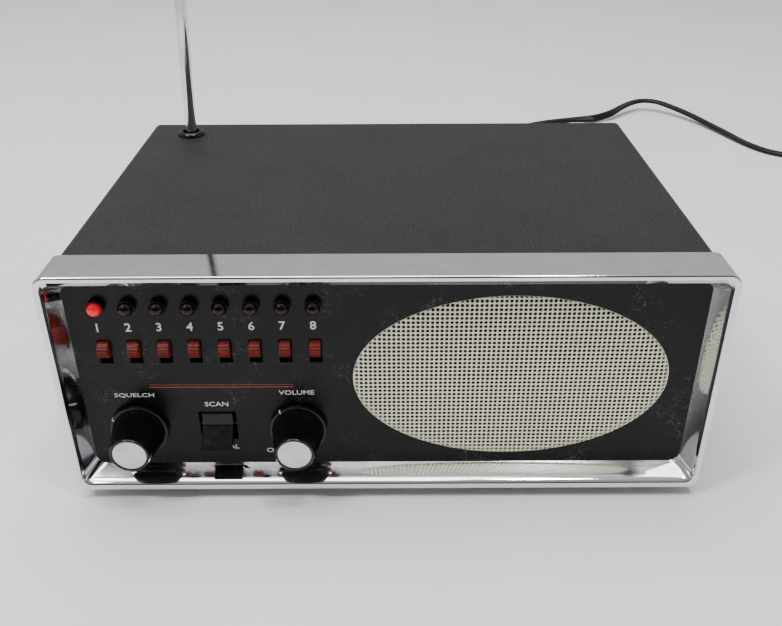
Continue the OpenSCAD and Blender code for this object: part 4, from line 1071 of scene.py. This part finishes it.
@dataclass
class Case:
    """The plated bezel, black panel, clad cover, tray, rear panel, feet and screws."""

    width: float = 275.0
    height: float = 106.6
    corner: float = 5.5
    rim: tuple[float, float, float] = (2.6, 2.0, 3.1)
    lips: tuple[tuple[float, float, float], ...] = ((269.3, 98.0, 1.5), (268.8, 96.6, 3.3))
    mouth_corner: float = 4.0
    visible: tuple[float, float] = (261.0, 91.3)
    visible_corner: float = 4.5
    pocket: tuple[float, float] = (3.5, 5.0)
    boss: tuple[float, float] = (13.5, 9.0)
    mitre_width: float = 1.9
    mitre_inset: float = 1.55
    pocket_corner: float = 2.5
    boss_r: float = 4.0
    boss_bore: float = 1.5
    boss_bore_depth: float = 8.0
    web: float = 2.0
    foot_x: float = 101.5
    foot_in: float = 25.0

    def build_bezel(self) -> None:
        """Casts the bezel: rounded rim, sloping walls, pocket, bosses and mitre ridges."""
        shape, w, h = Shape(), self.width, self.height
        side, top, low = self.rim
        deep_w, deep_h = w - 2 * self.pocket[0], h - 2 * self.pocket[1]
        back, front, panel = LINES.bezel_back, LINES.face, LINES.panel
        loops = [shape.slab_loop(w, h, self.corner, back),
                 shape.slab_loop(w, h, self.corner, front),
                 shape.slab_loop(w - 2 * side, h - top - low, self.mouth_corner, front, 0,
                                 LINES.middle + (low - top) / 2),
                 *(shape.slab_loop(wide, tall, self.mouth_corner, front + deep)
                   for wide, tall, deep in self.lips),
                 shape.slab_loop(*self.visible, self.visible_corner, panel),
                 shape.slab_loop(deep_w, deep_h, self.pocket_corner, panel),
                 shape.slab_loop(deep_w, deep_h, self.pocket_corner, back)]
        shape.bridge(*loops, closed=True)
        shape.soften(1.0, 5, 40, lambda p: p.y < front + 0.1
                     and (abs(p.x) > w / 2 - 1.5 or abs(p.z - LINES.middle) > h / 2 - 1.5))
        shape.soften(0.5, 3, 30, lambda p: p.y < front + 0.1)
        shape.soften(0.7, 3, 25, lambda p: p.y < front + 1.6 and abs(p.x) < w / 2 - 1.5)
        shape.soften(0.35, 2, 40, lambda p: p.y > back - 0.1)
        for sx in (-1, 1):
            for sz in (-1, 1):
                x, z = sx * (w / 2 - self.boss[0]), LINES.middle + sz * (h / 2 - self.boss[1])
                bore, deep = self.boss_bore, back - self.boss_bore_depth
                shape.turned([(bore, back), (self.boss_r, back), (self.boss_r, LINES.panel_back),
                              (0, LINES.panel_back), (0, deep), (bore, deep)],
                             Axis.BACK.at(x, 0, z), 24, closed=True)
                wall = sx * (w / 2 - self.pocket[0] + 0.5)
                shape.block((min(x, wall), LINES.panel_back, z - self.web),
                            (max(x, wall), back, z + self.web))
                self.add_mitre(shape, sx, sz)
        shape.piece("bezel_chrome", "case", CHROME, "chrome_plate", ("bezel",), 24)

    def add_mitre(self, shape: Shape, sx: int, sz: int) -> None:
        """Adds the low ridge that runs along a corner of the sloping walls.

        Args:
            shape: the bezel.
            sx: -1 for left, 1 for right.
            sz: -1 for below, 1 for above.
        """
        inset, rim = self.mitre_inset, self.rim[1 if sz > 0 else 2]
        outer = Vector((sx * (self.width / 2 - self.rim[0] - inset), LINES.face + 0.9,
                        LINES.middle + sz * (self.height / 2 - rim - inset)))
        inner = Vector((sx * (self.visible[0] / 2 - inset), LINES.panel + 0.1,
                        LINES.middle + sz * (self.visible[1] / 2 - inset)))
        along = (inner - outer).normalized()
        middle = Vector((-sx, -0.9, -sz)).normalized()
        across = along.cross(middle).normalized()
        up = across.cross(along).normalized()
        frame_of = Matrix((across, along, up)).transposed().to_4x4()
        place = Matrix.Translation((outer + inner) / 2) @ frame_of
        half = (inner - outer).length / 2
        shape.block((-self.mitre_width / 2, -half, -1.0), (self.mitre_width / 2, half, 0.25),
                    0.22, 2, place)

    def build_cover(self) -> None:
        """Softens a copy of the cover's sheet, for its folds and its cut edges."""
        shape = Shape("cabinet_cover")
        shape.soften(0.3, 2, 50)
        shape.piece("cover_clad", "case", VINYL, "cover_vinyl", ("cabinet_cover",), 30)

    def build_sheets(self) -> None:
        """Softens copies of the panel, tray and rear panel."""
        for node, name, finish, slot in (
                ("front_panel", "panel_enamelled", PANEL, "panel_black"),
                ("chassis_tray", "tray_sheet", ZINC, "zinc_steel"),
                ("rear_panel", "rear_sheet", ZINC, "zinc_steel")):
            shape = Shape(node)
            shape.soften(0.12, 1, 50)
            shape.piece(name, "case", finish, slot, (node,), 30)

    def build_feet(self) -> None:
        """Turns the four rubber feet."""
        shape = Shape()
        outline = [(0, 0.5), (3.0, 0.5), (3.4, 0), (5.6, 0), (6.2, 0.4), (6.9, 6.6), (6.6, 7.2),
                   (2, 7.2), (2, 8.4), (3, 8.4), (2, 10.4), (0, 10.4)]
        for sx in (-1, 1):
            for y in (LINES.bezel_back + self.foot_in, LINES.back - self.foot_in):
                shape.turned(outline, Axis.UP.at(sx * self.foot_x, y, 0), 40)
        shape.piece("feet_rubber", "case", RUBBER, "rubber_black", ("rubber_feet",))

    def build_screws(self) -> None:
        """Softens a copy of the screws."""
        shape = Shape("case_screws")
        shape.soften(0.2, 2, 60)
        shape.piece("screws_nickel", "case", SCREW, "screw_steel", ("case_screws",))

    def build(self) -> None:
        """Builds the whole case."""
        self.build_bezel()
        self.build_cover()
        self.build_sheets()
        self.build_feet()
        self.build_screws()


@dataclass
class Grille:
    """The ivory oval of perforated steel, with its rolled edge and flange."""

    x: float = 52.2
    half_width: float = 66.75
    half_height: float = 39.75
    pitch: float = 1.978
    hole: float = 1.54
    sheet: float = 0.25
    flange: float = 0.8
    ring: float = 0.2
    proud: float = 0.6
    roll: float = 0.55
    roll_width: float = 2.4
    cuts: int = 80

    def inside(self, point: Vector, grow: float = 0) -> float:
        """Gives how far out a point lies on the oval, 1 at its edge."""
        return math.hypot((point.x - self.x) / (self.half_width + grow),
                          (point.z - LINES.speaker_z) / (self.half_height + grow))

    def one_cell(self, shape: Shape) -> None:
        """Adds one square cell with a round hole, at the oval's middle."""
        y = LINES.panel - self.proud
        turn = Matrix.Rotation(math.pi / 2, 4, "X")
        place = Matrix.Translation((self.x, y, LINES.speaker_z)) @ turn
        hole = shape.added(lambda: bmesh.ops.create_circle(
            shape.bm, segments=12, radius=self.hole / 2,
            matrix=place @ Matrix.Rotation(math.radians(15), 4, "Z")))[1]
        square = shape.added(lambda: bmesh.ops.create_circle(
            shape.bm, segments=4, radius=self.pitch / math.sqrt(2),
            matrix=place @ Matrix.Rotation(math.radians(45), 4, "Z")))[1]
        rim = shape.added(lambda: bmesh.ops.subdivide_edges(shape.bm, edges=square, cuts=2))[1]
        rim = list(set(rim) | {e for e in square if e.is_valid})
        shape.bridge(hole, rim)

    def repeat(self, shape: Shape, step: Vector, count: int) -> None:
        """Repeats what the shape holds, so many times each way along a step."""
        bm = shape.bm
        bmesh.ops.translate(bm, vec=-step * count, verts=bm.verts)
        source = bm.verts[:] + bm.edges[:] + bm.faces[:]
        for k in range(1, 2 * count + 1):
            made = bmesh.ops.duplicate(bm, geom=source)["geom"]
            verts = [e for e in made if isinstance(e, bmesh.types.BMVert)]
            bmesh.ops.translate(bm, vec=step * k, verts=verts)

    def cut_out(self, shape: Shape) -> None:
        """Cuts the sheet to the oval."""
        bm = shape.bm
        far = [f for f in bm.faces if self.inside(f.calc_center_median(), self.pitch) > 1.02]
        bmesh.ops.delete(bm, geom=far, context="FACES")
        for k in range(self.cuts):
            a = FULL_TURN * (k + 0.5) / self.cuts
            out = Vector((self.half_height * math.cos(a), 0, self.half_width * math.sin(a)))
            point = Vector((self.x + self.half_width * math.cos(a), 0,
                            LINES.speaker_z + self.half_height * math.sin(a)))
            near = [f for f in bm.faces if (f.calc_center_median() - point).length_squared < 1e9
                    and (f.calc_center_median() - point).dot(out.normalized()) > -1.6]
            geom = list({e for f in near for e in (*f.verts, *f.edges, f)})
            bmesh.ops.bisect_plane(bm, geom=geom, dist=1e-5, plane_co=point,
                                   plane_no=out.normalized(), clear_outer=True)

    def build_sheet(self) -> None:
        """Punches, cuts, thickens and rolls the sheet."""
        shape = Shape()
        self.one_cell(shape)
        self.repeat(shape, Vector((self.pitch, 0, 0)), math.ceil(self.half_width / self.pitch))
        self.repeat(shape, Vector((0, 0, self.pitch)), math.ceil(self.half_height / self.pitch))
        bm = shape.bm
        bmesh.ops.remove_doubles(bm, verts=bm.verts, dist=1e-3)
        self.cut_out(shape)
        bmesh.ops.remove_doubles(bm, verts=bm.verts, dist=5e-3)
        made = bmesh.ops.extrude_face_region(bm, geom=bm.faces[:], use_keep_orig=True)["geom"]
        bmesh.ops.translate(bm, vec=(0, self.sheet, 0),
                            verts=[e for e in made if isinstance(e, bmesh.types.BMVert)])
        for v in bm.verts:
            short = (1 - self.inside(v.co)) * self.half_height
            fall = max(0, 1 - short / self.roll_width)
            v.co.y += self.roll * fall * fall
        shape.piece("grille_sheet", "case", IVORY, "grille_ivory", ("speaker_grille",), 40)

    def build_edge(self) -> None:
        """Forms the oval's side wall and the flange behind the panel."""
        shape = Shape()
        a, b, z = self.half_width, self.half_height, LINES.speaker_z
        front = LINES.panel - self.proud + self.roll
        back, flange = LINES.panel_back, LINES.panel_back + self.flange
        loops = [shape.ellipse(a + grow, b + grow, y, self.x, z) for grow, y in (
            (-self.ring, front + 0.25), (0, front), (0.02, back), (3.25, back), (3.25, flange),
            (-self.ring, flange))]
        shape.bridge(*loops, closed=True)
        shape.piece("grille_edge", "case", IVORY, "grille_ivory")

    def build(self) -> None:
        """Builds the grille."""
        self.build_sheet()
        self.build_edge()


@dataclass
class Channels:
    """Eight lamps, eight slides and their printed numbers."""

    lamp_r: float = 3.0
    lamp_proud: float = 5.9
    ring_proud: float = 3.0
    collar: float = 0.45
    lens_seat: float = 3.0
    lens_back: float = 6.6
    lens_flange: float = 0.85
    slide_w: float = 4.4
    slide_h: float = 7.2
    slide_proud: float = 4.0
    slide_end: float = 1.5
    ribs: int = 7
    groove: float = 0.6
    number_height: float = 4.0

    def lens(self, shape: Shape, index: int) -> None:
        """Turns one lens, with its domed front."""
        r, panel = self.lamp_r, LINES.panel
        back, seat = LINES.panel_back + self.lens_back, LINES.panel_back + self.lens_seat
        flange = r + self.lens_flange
        centre = panel - self.lamp_proud + r
        dome = [(r * math.sin(t), centre - r * math.cos(t))
                for t in (math.pi / 2 * k / 10 for k in range(11))]
        shape.turned([*dome, (r, seat), (flange, seat), (flange, back), (0, back)],
                     Axis.BACK.at(LINES.channel(index), 0, LINES.lamp_z), 40)

    def build_lamps(self) -> None:
        """Turns the lenses and their collars."""
        lit = Shape()
        self.lens(lit, 0)
        lit.piece("lamp_dome_1", "case", LIT_LENS, "lens_lit", ("lamp_lens_1",), 60)
        dark = Shape()
        for k in range(1, LINES.channels):
            self.lens(dark, k)
        dark.piece("lamp_domes_2_to_8", "case", DARK_LENS, "lens_dark", ("lamp_lenses_2_to_8",), 60)
        rings, r, panel = Shape(), self.lamp_r, LINES.panel
        seat = LINES.panel_back
        front = panel - self.ring_proud
        outline = [(r + 0.05, front + 0.12), (r + 0.14, front), (r + 0.33, front),
                   (r + self.collar, front + 0.14), (r + self.collar, seat), (r + 1.5, seat),
                   (r + 1.5, seat + 3), (r + 0.05, seat + 3)]
        for k in range(LINES.channels):
            rings.turned(outline, Axis.BACK.at(LINES.channel(k), 0, LINES.lamp_z), 40, True)
        rings.piece("lamp_rings", "case", COLLAR, "black_moulding", ("lamp_collars",))

    def build_slide(self, index: int) -> None:
        """Moulds one slide: a barrel-fronted cap with cross ribs, on its carriage.

        Args:
            index: the channel, counted from 0.
        """
        shape, x, z = Shape(), LINES.channel(index), LINES.slide_z
        w, h, panel = self.slide_w, self.slide_h, LINES.panel
        steps = 8 * self.ribs
        cap = shape.block((x - w / 2, panel - self.slide_proud, z - h / 2),
                          (x + w / 2, LINES.panel_back + 4, z + h / 2))
        upright = [e for e in {e for v in cap for e in v.link_edges}
                   if abs(e.verts[0].co.z - e.verts[1].co.z) > 1]
        bmesh.ops.subdivide_edges(shape.bm, edges=upright, cuts=steps - 1, use_grid_fill=True)
        for v in shape.bm.verts:
            if v.co.y < panel - 1:
                s = (v.co.z - z) / (h / 2)
                v.co.y += (self.slide_proud - self.slide_end) * s * s
                wave = math.cos(math.pi * self.ribs * s)
                v.co.y += 0.0 if abs(s) > 0.97 else self.groove * max(0.0, wave) ** 1.5
        shape.soften(0.3, 2, 60, lambda p: p.y < panel - 1)
        shape.block((x - w / 2 - 1, LINES.panel_back + 2.4, z - h / 2 - 1),
                    (x + w / 2 + 1, LINES.panel_back + 4, z + h / 2 + 1), 0.2, 1)
        shape.piece(f"slide_cap_{index + 1}", f"slide_{index + 1}", SLIDE, "slide_red",
                    (f"channel_slide_{index + 1}",), 45)

    def build_numbers(self) -> None:
        """Prints the numbers between the lamps and the slides."""
        places = [(str(k + 1), -118.7 + 88.4 / 7 * k, 83.5 + 0.11 * k) for k in range(8)]
        lettering("channel_numbers", [(text, x, z, self.number_height, None)
                                      for text, x, z in places], INK, "panel_black", 0.014)

    def build(self) -> None:
        """Builds lamps, slides and numbers."""
        self.build_lamps()
        for k in range(LINES.channels):
            self.build_slide(k)
        self.build_numbers()


def lettering(name: str, words: Sequence[tuple[str, float, float, float, float | None]],
              finish: Finish, slot: str, bold: float = 0.006) -> bpy.types.Object:
    """Prints plain words on the panel, as one piece.

    Args:
        name: the piece's name.
        words: text, middle across, middle up, height, and width or None for its own.
        finish: the ink.
        slot: passed on to the piece, which does not use it.
        bold: how far the strokes are thickened, in the font's own units.

    Returns:
        The piece.
    """
    shape, thickness = Shape(), 0.05
    for text, x, z, height, width in words:
        curve = bpy.data.curves.new(name, "FONT")
        curve.body, curve.resolution_u, curve.extrude = text, 3, 0.02
        curve.offset = bold
        letters = bpy.data.objects.new(name, curve)
        bpy.context.scene.collection.objects.link(letters)
        bpy.context.view_layer.update()
        mesh = bpy.data.meshes.new_from_object(
            letters.evaluated_get(bpy.context.evaluated_depsgraph_get()))
        bpy.data.objects.remove(letters)
        low = [min(v.co[i] for v in mesh.vertices) for i in range(3)]
        high = [max(v.co[i] for v in mesh.vertices) for i in range(3)]
        tall = height / (high[1] - low[1])
        wide = width / (high[0] - low[0]) if width else tall
        middle = Matrix.Translation([-(a + b) / 2 for a, b in zip(low, high)])
        place = (Matrix.Translation((x, LINES.panel - thickness / 2, z))
                 @ Matrix.Rotation(math.pi / 2, 4, "X")
                 @ Matrix.Diagonal((wide, tall, thickness * 1.4 / (high[2] - low[2]), 1)) @ middle)
        mesh.transform(place)
        shape.bm.from_mesh(mesh)
        bpy.data.meshes.remove(mesh)
    return shape.piece(name, "case", finish, slot, (), 30)


@dataclass
class Knob:
    """A fluted knob with a skirt, its pointer and its spun disc."""

    name: str
    x: float
    pointer: float
    flutes: int = 60
    flute_depth: float = 0.8

    def build_knob(self) -> None:
        """Turns the knob and cuts its flutes."""
        shape, panel, face = Shape(), LINES.panel, LINES.face - 10.1
        back, front = panel - 0.8, panel - 3.2
        steps = self.flutes * 6
        outline = [(0, panel - 15), (3, panel - 15), (3, back - 7), (8.2, back - 7), (8.2, back),
                   (12.2, back), (12.5, back - 0.3), (12.5, front + 0.5), (12.35, front + 0.14),
                   (12.0, front), (11.35, front), (11.3, front + 0.35), (11.2, front + 0.35),
                   (11.2, front - 0.5)]
        count = 8
        outline += [(11.2 + (8.45 - 11.2) * k / count, front - 0.5 + (face + 0.9 - front + 0.5)
                     * k / count) for k in range(1, count)]
        outline += [(8.4, face + 0.9), (8.32, face + 0.75), (8.2, face + 0.2), (8.0, face),
                    (7.36, face), (7.22, face + 0.15), (7.22, face + 1.3), (0, face + 1.3)]
        verts = shape.turned(outline, Axis.BACK.at(self.x, 0, LINES.knob_z), steps)
        for v in verts:
            off = Vector((v.co.x - self.x, 0, v.co.z - LINES.knob_z))
            if off.length < 8.4 or not face + 0.85 < v.co.y < front - 0.2:
                continue
            phase = math.atan2(off.z, off.x) * self.flutes
            cut = (0.5 - 0.5 * math.cos(phase)) ** 1.6 * self.flute_depth
            v.co -= off.normalized() * cut
        shape.piece(f"{self.name}_knob_fluted", self.name, KNOB, "knob_black",
                    (f"{self.name}_knob",), 40)

    def build_pointer(self) -> None:
        """Paints the short pointer near the skirt's edge."""
        shape = Shape()
        front = LINES.panel - 3.2
        place = (Matrix.Translation((self.x, 0, LINES.knob_z))
                 @ Matrix.Rotation(math.radians(self.pointer), 4, "Y"))
        shape.block((-0.35, front - 0.06, 11.45), (0.35, front + 0.3, 12.3), 0.04, 1, place)
        shape.block((-0.35, front + 0.2, 12.2), (0.35, front + 1.7, 12.56), 0.04, 1, place)
        shape.piece(f"{self.name}_pointer", self.name, POINTER, "knob_black")

    def build_disc(self) -> None:
        """Spins the aluminium disc, dished and ringed."""
        face = LINES.face - 10.1
        finish = SpunDisc(f"{self.name}_spun_disc", (0.76, 0.76, 0.755), (0.66, 0.66, 0.655),
                          (0.3, 0.46), metallic=0.75, depth=0.02, dust=0.35,
                          centre=(self.x, 0, LINES.knob_z))
        shape = Shape()
        shape.turned([(0, face + 0.42), (3, face + 0.4), (5.3, face + 0.36), (6.9, face + 0.3),
                      (7.05, face + 0.32), (7.18, face + 0.46), (7.2, face + 1.3), (0, face + 1.3)],
                     Axis.BACK.at(self.x, 0, LINES.knob_z), 96)
        shape.piece(f"{self.name}_disc", self.name, finish, "spun_aluminium",
                    (f"{self.name}_knob_cap",), 40)

    def build(self) -> None:
        """Builds the knob's pieces."""
        self.build_knob()
        self.build_pointer()
        self.build_disc()


@dataclass
class Rocker:
    """The glossy rocker, stored with its upper half pressed."""

    width: float = 13.4
    outline: tuple[tuple[float, float], ...] = (
        (-0.4, 6.65), (-1.0, 1.0), (-10.0, -6.65), (1.5, -6.35), (8.0, -3.3), (8.0, 3.3),
        (3.0, 6.65))
    pin: float = 3.0

    def build(self) -> None:
        """Moulds the paddle and its pins."""
        shape, x = Shape(), LINES.rocker_x
        verts = [shape.bm.verts.new((x - self.width / 2, LINES.panel + y, LINES.rocker_z + z))
                 for y, z in self.outline]
        side = shape.bm.faces.new(verts)
        made = bmesh.ops.extrude_face_region(shape.bm, geom=[side], use_keep_orig=True)["geom"]
        bmesh.ops.translate(shape.bm, vec=(self.width, 0, 0),
                            verts=[v for v in made if isinstance(v, bmesh.types.BMVert)])
        shape.soften(0.45, 3, 20)
        pin = Matrix.Translation((x, LINES.panel + self.pin, LINES.rocker_z))
        shape.turned([(0, -9.4), (1.5, -9.4), (1.5, 9.4), (0, 9.4)],
                     pin @ Matrix.Rotation(math.pi / 2, 4, "Y"), 24)
        shape.piece("rocker_moulded", "rocker", ROCKER, "rocker_black", ("rocker_paddle",), 32)


@dataclass
class Antenna:
    """The telescopic whip, stored closed, with its grommet."""

    x: float = -108.8
    y: float = 77.9
    lean: float = 2.0
    radius: float = 3.0
    wall: float = 0.35
    step_in: float = 0.4
    foot: float = -42.0
    shown: float = 105.0
    lift: float = 2.0
    rise: float = 3.0

    def place(self) -> Matrix:
        """Gives the whip's own frame, whose origin lies where it passes the cover."""
        return (Matrix.Translation((self.x, self.y, LINES.cover_top))
                @ Matrix.Rotation(math.radians(self.lean), 4, "Y"))

    def build_tube(self, index: int) -> None:
        """Draws one tube with a crimped mouth, or the solid rod with its tip.

        Args:
            index: the section, counted from 0 outside.
        """
        r = self.radius - index * self.step_in
        low, high = self.foot + index * self.lift, self.shown + index * self.rise
        shape = Shape()
        if index < 3:
            bore = r - self.wall
            outline = [(0, low), (r, low), (r, high - 1.5), (r - 0.06, high - 0.9),
                       (r - 0.2, high - 0.35), (r - 0.3, high), (bore - 0.01, high - 0.25),
                       (bore - 0.01, low + 1), (0, low + 1)]
        else:
            tip = 2.8
            outline = [(0, low), (r, low), (r, high - 0.2), (r + 0.3, high), (tip - 0.5, high),
                       (tip - 0.1, high + 0.25), (tip, high + 0.8), (tip, high + 5)]
            outline += [(tip * math.cos(t), high + 5 + tip * math.sin(t))
                        for t in (math.pi / 2 * k / 8 for k in range(1, 9))]
        shape.turned(outline, self.place(), 48)
        body = "case" if index == 0 else f"whip_{index + 1}"
        shape.piece(f"whip_section_{index + 1}", body, ROD_CHROME, "antenna_chrome",
                    (f"antenna_section_{index + 1}",), 50)

    def build(self) -> None:
        """Builds the tubes and the grommet."""
        for k in range(4):
            self.build_tube(k)
        shape = Shape()
        outline = [(4.6, -4.0), (7.3, -4.0), (7.3, -1.6), (5.8, -1.6), (5.8, 0), (7.3, 0),
                   (7.28, 0.5), (7.05, 1.2), (6.6, 1.8), (6.0, 2.2), (5.5, 2.35), (5.0, 2.3),
                   (4.7, 2.0), (4.6, 1.6)]
        shape.turned(outline, Axis.UP.at(self.x, self.y, LINES.cover_top), 48, True)
        shape.piece("grommet_ring", "case", GROMMET, "rubber_black", ("antenna_grommet",), 50)


@dataclass
class RearFittings:
    """The antenna jack, the speaker jack and the fuse holder."""

    jack: tuple[float, float] = (-66.5, 67.0)
    ear: tuple[float, float] = (-32.5, 67.0)
    fuse: tuple[float, float] = (48.5, 49.0)

    def build_jack(self) -> None:
        """Makes the threaded jack on its square plate, with rivets."""
        shape, rear = Shape(), LINES.rear
        x, z = self.jack
        loops = [shape.slab_loop(24, 24, 2, y, x, z, 4) for y in (rear, rear + 1.6)]
        hole = [shape.ellipse(6.4, 6.4, y, x, z, 20) for y in (rear + 1.6, rear)]
        shape.bridge(loops[0], loops[1], hole[0], hole[1], closed=True)
        end = LINES.back + 9.0
        thread = [(6.5, LINES.rear_inner - 7), (6.5, rear + 1.6), (7.9, rear + 1.6)]
        pitch = 1.06
        count = int((end - rear - 2.6) / pitch)
        for k in range(count):
            y = rear + 2.2 + k * pitch
            thread += [(7.9, y), (7.25, y + pitch / 2)]
        thread += [(7.9, end - 0.6), (7.5, end), (6.7, end), (6.7, end - 6), (3.1, end - 6),
                   (3.1, end - 0.2), (2.1, end - 0.2), (2.1, rear), (0, rear),
                   (0, LINES.rear_inner - 7)]
        shape.turned(thread, Axis.BACK.at(x, 0, z), 40, True)
        for sx in (-1, 1):
            for sz in (-1, 1):
                shape.turned([(0, rear + 2.5), (1.0, rear + 2.35), (1.7, rear + 1.9),
                              (1.8, rear + 1.5), (0, rear + 1.5)],
                             Axis.BACK.at(x + sx * 9, 0, z + sz * 9), 20)
        shape.piece("coax_jack", "case", NICKEL, "nickel", ("antenna_jack",))

    def build_ear_jack(self) -> None:
        """Makes the speaker jack and its ring nut."""
        shape, rear = Shape(), LINES.rear
        x, z = self.ear
        inner = LINES.rear_inner - 12
        shape.turned([(0, inner), (3.9, inner), (3.9, rear), (5.3, rear), (5.5, rear + 0.25),
                      (5.5, rear + 1.5), (5.2, rear + 1.8), (3.9, rear + 1.8), (3.9, rear + 2.2),
                      (3.6, rear + 2.4), (2.0, rear + 2.4), (1.8, rear + 2.2), (1.8, inner + 1),
                      (0, inner + 1)], Axis.BACK.at(x, 0, z), 36)
        for k in range(4):
            turn = (Matrix.Translation((x, 0, z))
                    @ Matrix.Rotation(math.pi / 4 + math.pi / 2 * k, 4, "Y"))
            shape.block((-0.45, rear + 1.2, 4.5), (0.45, rear + 1.95, 5.45), 0.1, 1, turn)
        shape.piece("phone_jack", "case", NICKEL, "nickel", ("speaker_jack",))

    def build_fuse(self) -> None:
        """Moulds the fuse holder and its ribbed, slotted cap."""
        shape, rear = Shape(), LINES.rear
        x, z = self.fuse
        inner = LINES.rear_inner - 26
        verts = shape.turned([(0, inner), (6, inner), (6, rear), (7.5, rear), (7.5, rear + 0.9),
                              (7.45, rear + 1.2), (7.35, rear + 4.6), (6.9, rear + 5.4),
                              (6.1, rear + 6), (4.2, rear + 6), (4.0, rear + 5.5),
                              (0, rear + 5.5)], Axis.BACK.at(x, 0, z), 120)
        for v in verts:
            off = Vector((v.co.x - x, 0, v.co.z - z))
            if off.length > 6.8 and v.co.y > rear + 1.1:
                phase = math.atan2(off.z, off.x) * 24
                v.co -= off.normalized() * 0.35 * (0.5 - 0.5 * math.cos(phase))
        shape.block((x - 3.2, rear + 5.4, z - 0.5), (x + 3.2, rear + 5.9, z + 0.5), 0.15, 1)
        shape.piece("fuse_cap", "case", MOULDING, "black_moulding", ("fuse_holder",), 40)

    def build(self) -> None:
        """Builds all three."""
        self.build_jack()
        self.build_ear_jack()
        self.build_fuse()


@dataclass
class Printing:
    """The plain words and rules printed on the panel."""

    cap_height: float = 2.3
    rule_ends: tuple[float, float] = (-101.5, -40.0)
    rules: tuple[tuple[float, float], ...] = ((53.6, 54.0), (54.9, 55.1))

    def build(self) -> None:
        """Prints the control names and two plain red rules."""
        h = self.cap_height
        lettering("control_names", [
            ("SQUELCH", -108.6, 49.6, h, 17.0), ("VOLUME", -39.0, 50.8, h, 15.2),
            ("SCAN", -73.9, 44.9, h, 10.2), ("MANUAL", -73.4, 21.7, h, 14.6),
            ("OFF", -50.3, 19.6, h, 7.4)], INK, "panel_black")
        rules = Shape()
        left, right = self.rule_ends
        for low, high in self.rules:
            rules.block((left, LINES.panel - 0.04, low), (right, LINES.panel + 0.02, high))
        rules.piece("red_rules", "case", RED_INK, "panel_black")


@dataclass
class Inside:
    """The parts inside, which keep their CAD shapes and take their own finishes."""

    finishes: dict[str, Finish] = field(default_factory=lambda: {
        "speaker_frame": GREY_STEEL, "speaker_cone": PAPER, "speaker_magnet": FERRITE,
        "panel_fasteners": SCREW, "main_board": BOARD, "board_standoffs": BRASS,
        "crystal_sockets": SOCKET_PHENOLIC, "crystals": CAN, "transformer_core": LAMINATION,
        "transformer_winding": TAPE, "filter_capacitor": SLEEVE, "if_cans": CAN,
        "board_parts": CERAMIC, "heat_sink": ANODISED, "channel_board": BOARD,
        "channel_switch_bodies": MOULDING, "squelch_pot": POT, "volume_pot": POT,
        "squelch_shaft": SCREW, "volume_shaft": SCREW, "rocker_frame": MOULDING,
        "antenna_socket": SOCKET_PHENOLIC})

    def build(self) -> None:
        """Dresses each part."""
        for name, finish in self.finishes.items():
            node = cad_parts[name]
            node.data.materials.clear()
            node.data.materials.append(finish.material())
            log.info("%s is dressed in %s", name, finish.name)


def main() -> None:
    """Builds the studio and every sub-assembly in order."""
    logging.basicConfig(level=logging.INFO, format="%(name)s: %(message)s")
    Studio().build()
    assemblies = [
        MainsCord(), Case(), Grille(), Channels(), Printing(),
        Knob("squelch", LINES.squelch_x, -60.0), Knob("volume", LINES.volume_x, -37.0),
        Rocker(), Antenna(), RearFittings(), Inside()]
    for assembly in assemblies:
        log.info("building %s", type(assembly).__name__)
        assembly.build()


if __name__ == "__main__":
    main()
